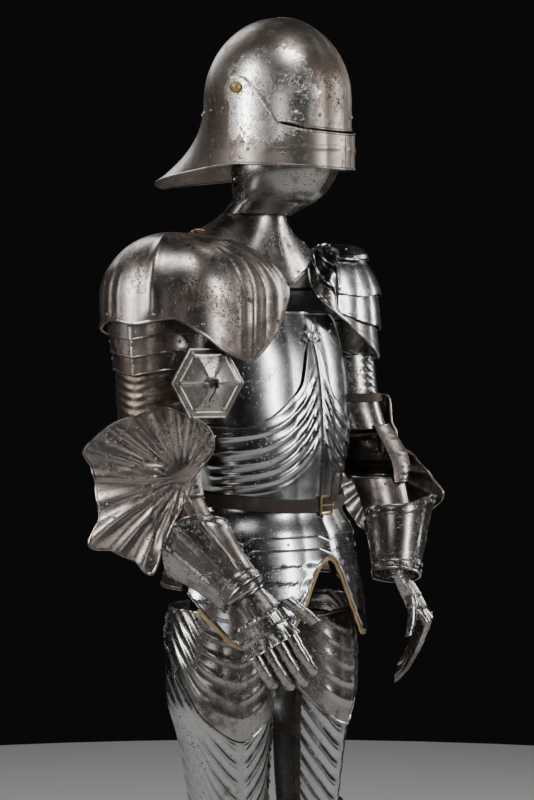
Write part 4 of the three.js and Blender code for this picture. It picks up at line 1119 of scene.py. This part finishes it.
def make_gauntlet(side, hand, thumb, cuff, finger_aim=None, finger_scale=1.0):
    f = hand_frame(**hand)
    length = f["length"]
    bell = cuff_bell(f, *cuff)
    clusters = [(a, u) for a in (-70, -64, -40, -34, -6, 0, 6, 34, 40, 64, 70) for u in (0.05, 0.13)]
    build(f"gauntlet_{side}_cuff_plate", f"gauntlet_{side}_cuff", "worn_steel",
          [bell.wall(150, 50), bell.border(1, 2.6, 180), bell.border(0, 2.0, 120),
           bell.studs(np.arange(-140, 141, 20), 0.94, 2.2),
           bell.studs([a for a, _ in clusters], [u for _, u in clusters], 2.6),
           bell.side_border(-150, 2.0), bell.side_border(150, 2.0)])
    ribs = lambda a, u: 1.4 * cords(u * 3, 3)
    wrist = arch(f, [(2, 33, 24), (-8, 35, 27), (-12, 37, 29)], 84, ribs)
    build(f"gauntlet_{side}_wrist_plate", f"gauntlet_{side}_wrist", "worn_steel",
          [wrist.wall(70, 18, 1.5), wrist.studs([-66, 0, 66], 0.5, 3.0)])
    knuckle_rise = lambda a, u: (5.0 * scallops((a + 84) / 42.0, 0.8) * np.exp(-((u / 0.20) ** 2))
                                 + 1.5 * cords(a / 28.0, 3) * window(u, 0.25, 0.95, 0.12)
                                 + 1.6 * np.exp(-(((u - 0.30) / 0.03) ** 2)) + 1.6
                                 * np.exp(-(((u - 0.62) / 0.03) ** 2)))
    back = arch(f, [(length + 3, 45, 25), (length * 0.72, 43, 27), (length * 0.45, 40, 27), (3.5, 33, 24)],
                84, knuckle_rise)
    build(f"gauntlet_{side}_hand_plate", f"gauntlet_{side}_hand", "worn_steel",
          [back.wall(110, 50, 1.5), back.border(0, 1.6, 120), back.studs([-70, 70], 0.7, 2.6),
           back.studs([-63, -21, 21, 63], 0.10, 2.4)])
    for index, (name, reach) in enumerate(FINGERS):
        place = thumb * (1.5 - index) * FINGER_PITCH
        start = f["start"] + f["forward"] * (length + 3) + f["back"] * 10 + f["across"] * place
        build(f"gauntlet_{side}_{name}_plate", f"gauntlet_{side}_{name}", "worn_steel",
              finger_bits(f, start, reach * finger_scale,
                          f["forward"] if finger_aim is None else unit(np.array(finger_aim))))
    aim = unit(f["forward"] + f["across"] * thumb * 0.35 - f["back"] * 0.25)
    start = f["start"] + f["forward"] * length * 0.42 - f["back"] * 2 + f["across"] * thumb * 53
    build(f"gauntlet_{side}_thumb_plate", f"gauntlet_{side}_thumb", "worn_steel",
          finger_bits(f, start, 62, aim, 11.0, lames=4))


# ---------------------------------------------------------------- legs
LEG_ROWS = [
    (860, 95, 2, 82, 86, 84, 5), (800, 99, 2, 88, 92, 88, 6), (750, 102, 2, 91, 94, 90, 6), (704, 101, 2,
        90, 94, 88, 6),
    (640, 94, 0, 80, 86, 80, 6), (515, 87, -4, 66, 73, 68, 5), (450, 85, -8, 60, 67, 61, 5), (385, 85, 0,
        51, 54, 57, 5),
    (310, 87, 12, 54, 50, 66, 5), (200, 91, 12, 40, 38, 44, 4), (110, 93, 8, 36, 38, 42, 2), (10, 93, 8, 38,
        40, 54, 0),
]
CUISSE_ARC = Curve([(-160, 796), (-90, 786), (-60, 736), (-35, 676), (0, 643), (35, 668), (66, 711)])
CUISSE_TOP = Curve([(-160, 852), (-60, 850), (0, 836), (66, 822)])
SABATON = [(222, 0, 14), (200, 17, 24), (160, 38, 42), (110, 46, 62), (46, 43, 84)]
THIGH_FOOT, KNEE_TOP, KNEE_BOTTOM, SHIN_TOP = 492, 508, 394, 384
SOLE_HEIGHT = 8
ANKLE = (93, 8)


def hinge_plates(cuisse, own):
    """Two upright hinge leaves on the outer side of the thigh, each riveted at both ends."""
    bits = []
    for angle in (-112, -134):
        places = [(own * angle, 0.14), (own * angle, 0.80)]
        bits.append(cuisse.strap(places, 13, 2.0, clear=1.0))
        bits.append(cuisse.studs([own * angle] * 3, [0.20, 0.47, 0.74], 3.2))
    return bits


def thigh_strap(form, own, height):
    """A strap round the open back of the thigh, from the plate's outer edge to its inner one."""
    angles = own * np.linspace(-152, -300, 40)
    inner = form(height, angles, -3.0)
    return ribbon(inner, form(height, angles, 7.0) - inner, 22, 2.4)


def inner_edge(cuisse, own):
    """A leather edging down the plate's inner side."""
    up = np.linspace(0.02, 0.94, 40)
    across = np.full(40, own * 63.0)
    normal = cuisse.normal(across, up)
    return ribbon(cuisse.at(across, up) + normal * 0.4, normal, 10, 1.8)


def make_leg(side, outward, turn):
    """The tables of edges are for a leg with its outer side at negative angles, so the left one mirrors them."""
    form = sections("x y side front back ridge", [(h, outward * x, *rest) for h, x, *rest in LEG_ROWS], turn)
    own = -outward
    ends = (-160, 66) if outward < 0 else (-66, 160)
    arc, top = (lambda a: CUISSE_ARC(own * a)), (lambda a: CUISSE_TOP(own * a))

    def upper_surface(a, u):
        height = lerp(arc(a), top(a), u)
        spacing = lerp(30.0, 13.0, np.clip((-own * a - 10) / 120.0, 0, 1))
        count = (height - arc(a) - 8) / spacing
        flutes = 1.9 * cords(count, 2.6) * window(count, 0.4, 5.6, 0.5) * window(own * a, -128, 40, 14)
        return form(height, a, flutes + 1.2 * np.exp(-np.abs(a) / 1.6))

    upper = Sheet(upper_surface, *ends)
    build(f"cuisse_{side}_upper_plate", f"cuisse_{side}_upper", "worn_steel",
          [upper.wall(150, 76), upper.border(0, 2.8, 220), upper.border(1, 2.6, 160),
           upper.studs(np.linspace(ends[0] + 10, ends[1] - 10, 7), 0.93, 2.8), *hinge_plates(upper, own)],
          extra=[("brown_leather", [thigh_strap(form, own, 812)])])
    low_top = lambda a: CUISSE_ARC(own * a) + 24

    def lower_surface(a, u):
        height = lerp(THIGH_FOOT, low_top(a), u)
        count = (low_top(a) - 24 - height + np.abs(a) * 0.42 + 40) / 30.0
        flutes = 2.0 * (cords(count, 6) + cords(count + 0.27, 8) * 0.7) * window(u, 0.03, 0.9,
            0.05) * window(np.abs(a), 2, 100, 8)
        return form(height, a, -5 + flutes + 1.6 * np.exp(-np.abs(a) / 1.6))

    lower = Sheet(lower_surface, *ends)
    build(f"cuisse_{side}_lower_plate", f"cuisse_{side}_lower", "bright_steel",
          [lower.wall(140, 96), lower.border(0, 2.0, 160)],
          extra=[("brown_leather", [inner_edge(lower, own), thigh_strap(form, own, 640)])])

    def poleyn_surface(a, u):
        height = lerp(KNEE_BOTTOM, KNEE_TOP, u)
        fold = 2.4 * np.exp(-(((u - 0.5) / 0.03) ** 2)) + 1.6 * cords(u * 8, 3) * window(np.abs(u - 0.5),
            0.12, 0.46, 0.05)
        return form(height, a, LAP + 9 * np.sin(math.pi * u) + fold + 1.4 * np.exp(-np.abs(a) / 2.0))

    poleyn = Sheet(poleyn_surface, -110, 110)
    build(f"poleyn_{side}_plate", f"poleyn_{side}", "worn_steel",
          [poleyn.wall(110, 60), poleyn.border(0, 2.2), poleyn.border(1, 2.2),
           poleyn.studs([-100, -100, 100, 100], [0.2, 0.8, 0.2, 0.8], 3.2)])
    foot = even([(0, 96), (80, 84), (120, 20), (180, 12)])
    greave = Sheet(lambda a, u: form(lerp(foot(a), SHIN_TOP, u), a, 1.2 * np.exp(-np.abs(wrapped(a)) / 2.0)), 0,
                   360, closed=True)
    build(f"greave_{side}_plate", f"greave_{side}", "worn_steel",
          [greave.wall(110, 60), greave.border(0, 2.2), greave.border(1, 2.2),
           greave.studs([-90, -90, 90, 90], [0.2, 0.8, 0.2, 0.8], 3.2)])
    t = math.radians(turn)
    toe, across = np.array([math.sin(t), -math.cos(t), 0]), np.array([math.cos(t), math.sin(t), 0])
    middle = np.array([outward * ANKLE[0], ANKLE[1], SOLE_HEIGHT], float)
    share = np.linspace(0, 1, len(SABATON))
    out, half, rise = (np.array([row[i] for row in SABATON], float) for i in range(3))

    def sabaton_surface(a, u):
        r = np.radians(a)
        at = lambda values: np.interp(u, share, values)
        ridge = 1.6 * cords(u * 8, 4) * window(u, 0.1, 0.95, 0.05) + 2.0 * np.exp(-np.abs(a) / 3)
        lift = np.where(at(half) > 4, ridge, 0.0)
        high = lerp(at(rise) + lift, (at(rise) + lift) * np.cos(r), np.clip(at(half) / 17, 0, 1))
        return (middle + toe * at(out)[..., None] + across * (np.sin(r) * at(half))[..., None]
                + np.array([0, 0, 1.0]) * high[..., None])

    sabaton = Sheet(sabaton_surface, -90, 90)
    build(f"sabaton_{side}_plate", f"sabaton_{side}", "worn_steel", [sabaton.wall(60, 72),
                                                                     sabaton.studs([-70, 70], 0.9, 3.0)])


# ---------------------------------------------------------------- the suit in its studio
add_camera()
add_lights()
add_floor(painted("pale_floor", colour(0.62, 0.62, 0.60), 0.75))
make_helmet()
make_bevor()
make_breast()
make_skirt()
make_belt()
make_right_shoulder()
make_left_shoulder()
make_arms()
make_besagew()
make_gauntlet("right", dict(wrist=(-195, -140, 885), knuckles=(-174, -180, 812), facing=-48), 1,
              ((-228, -40, 980), 150, 41, 62))
make_gauntlet("left", dict(wrist=(160, -151, 885), knuckles=(180, -180, 812), facing=48), -1,
              ((206, -118, 1020), 150, 43, 62), finger_aim=(-0.04, 0.26, -0.95), finger_scale=1.2)
make_leg("right", -1, -28)
make_leg("left", 1, 10)
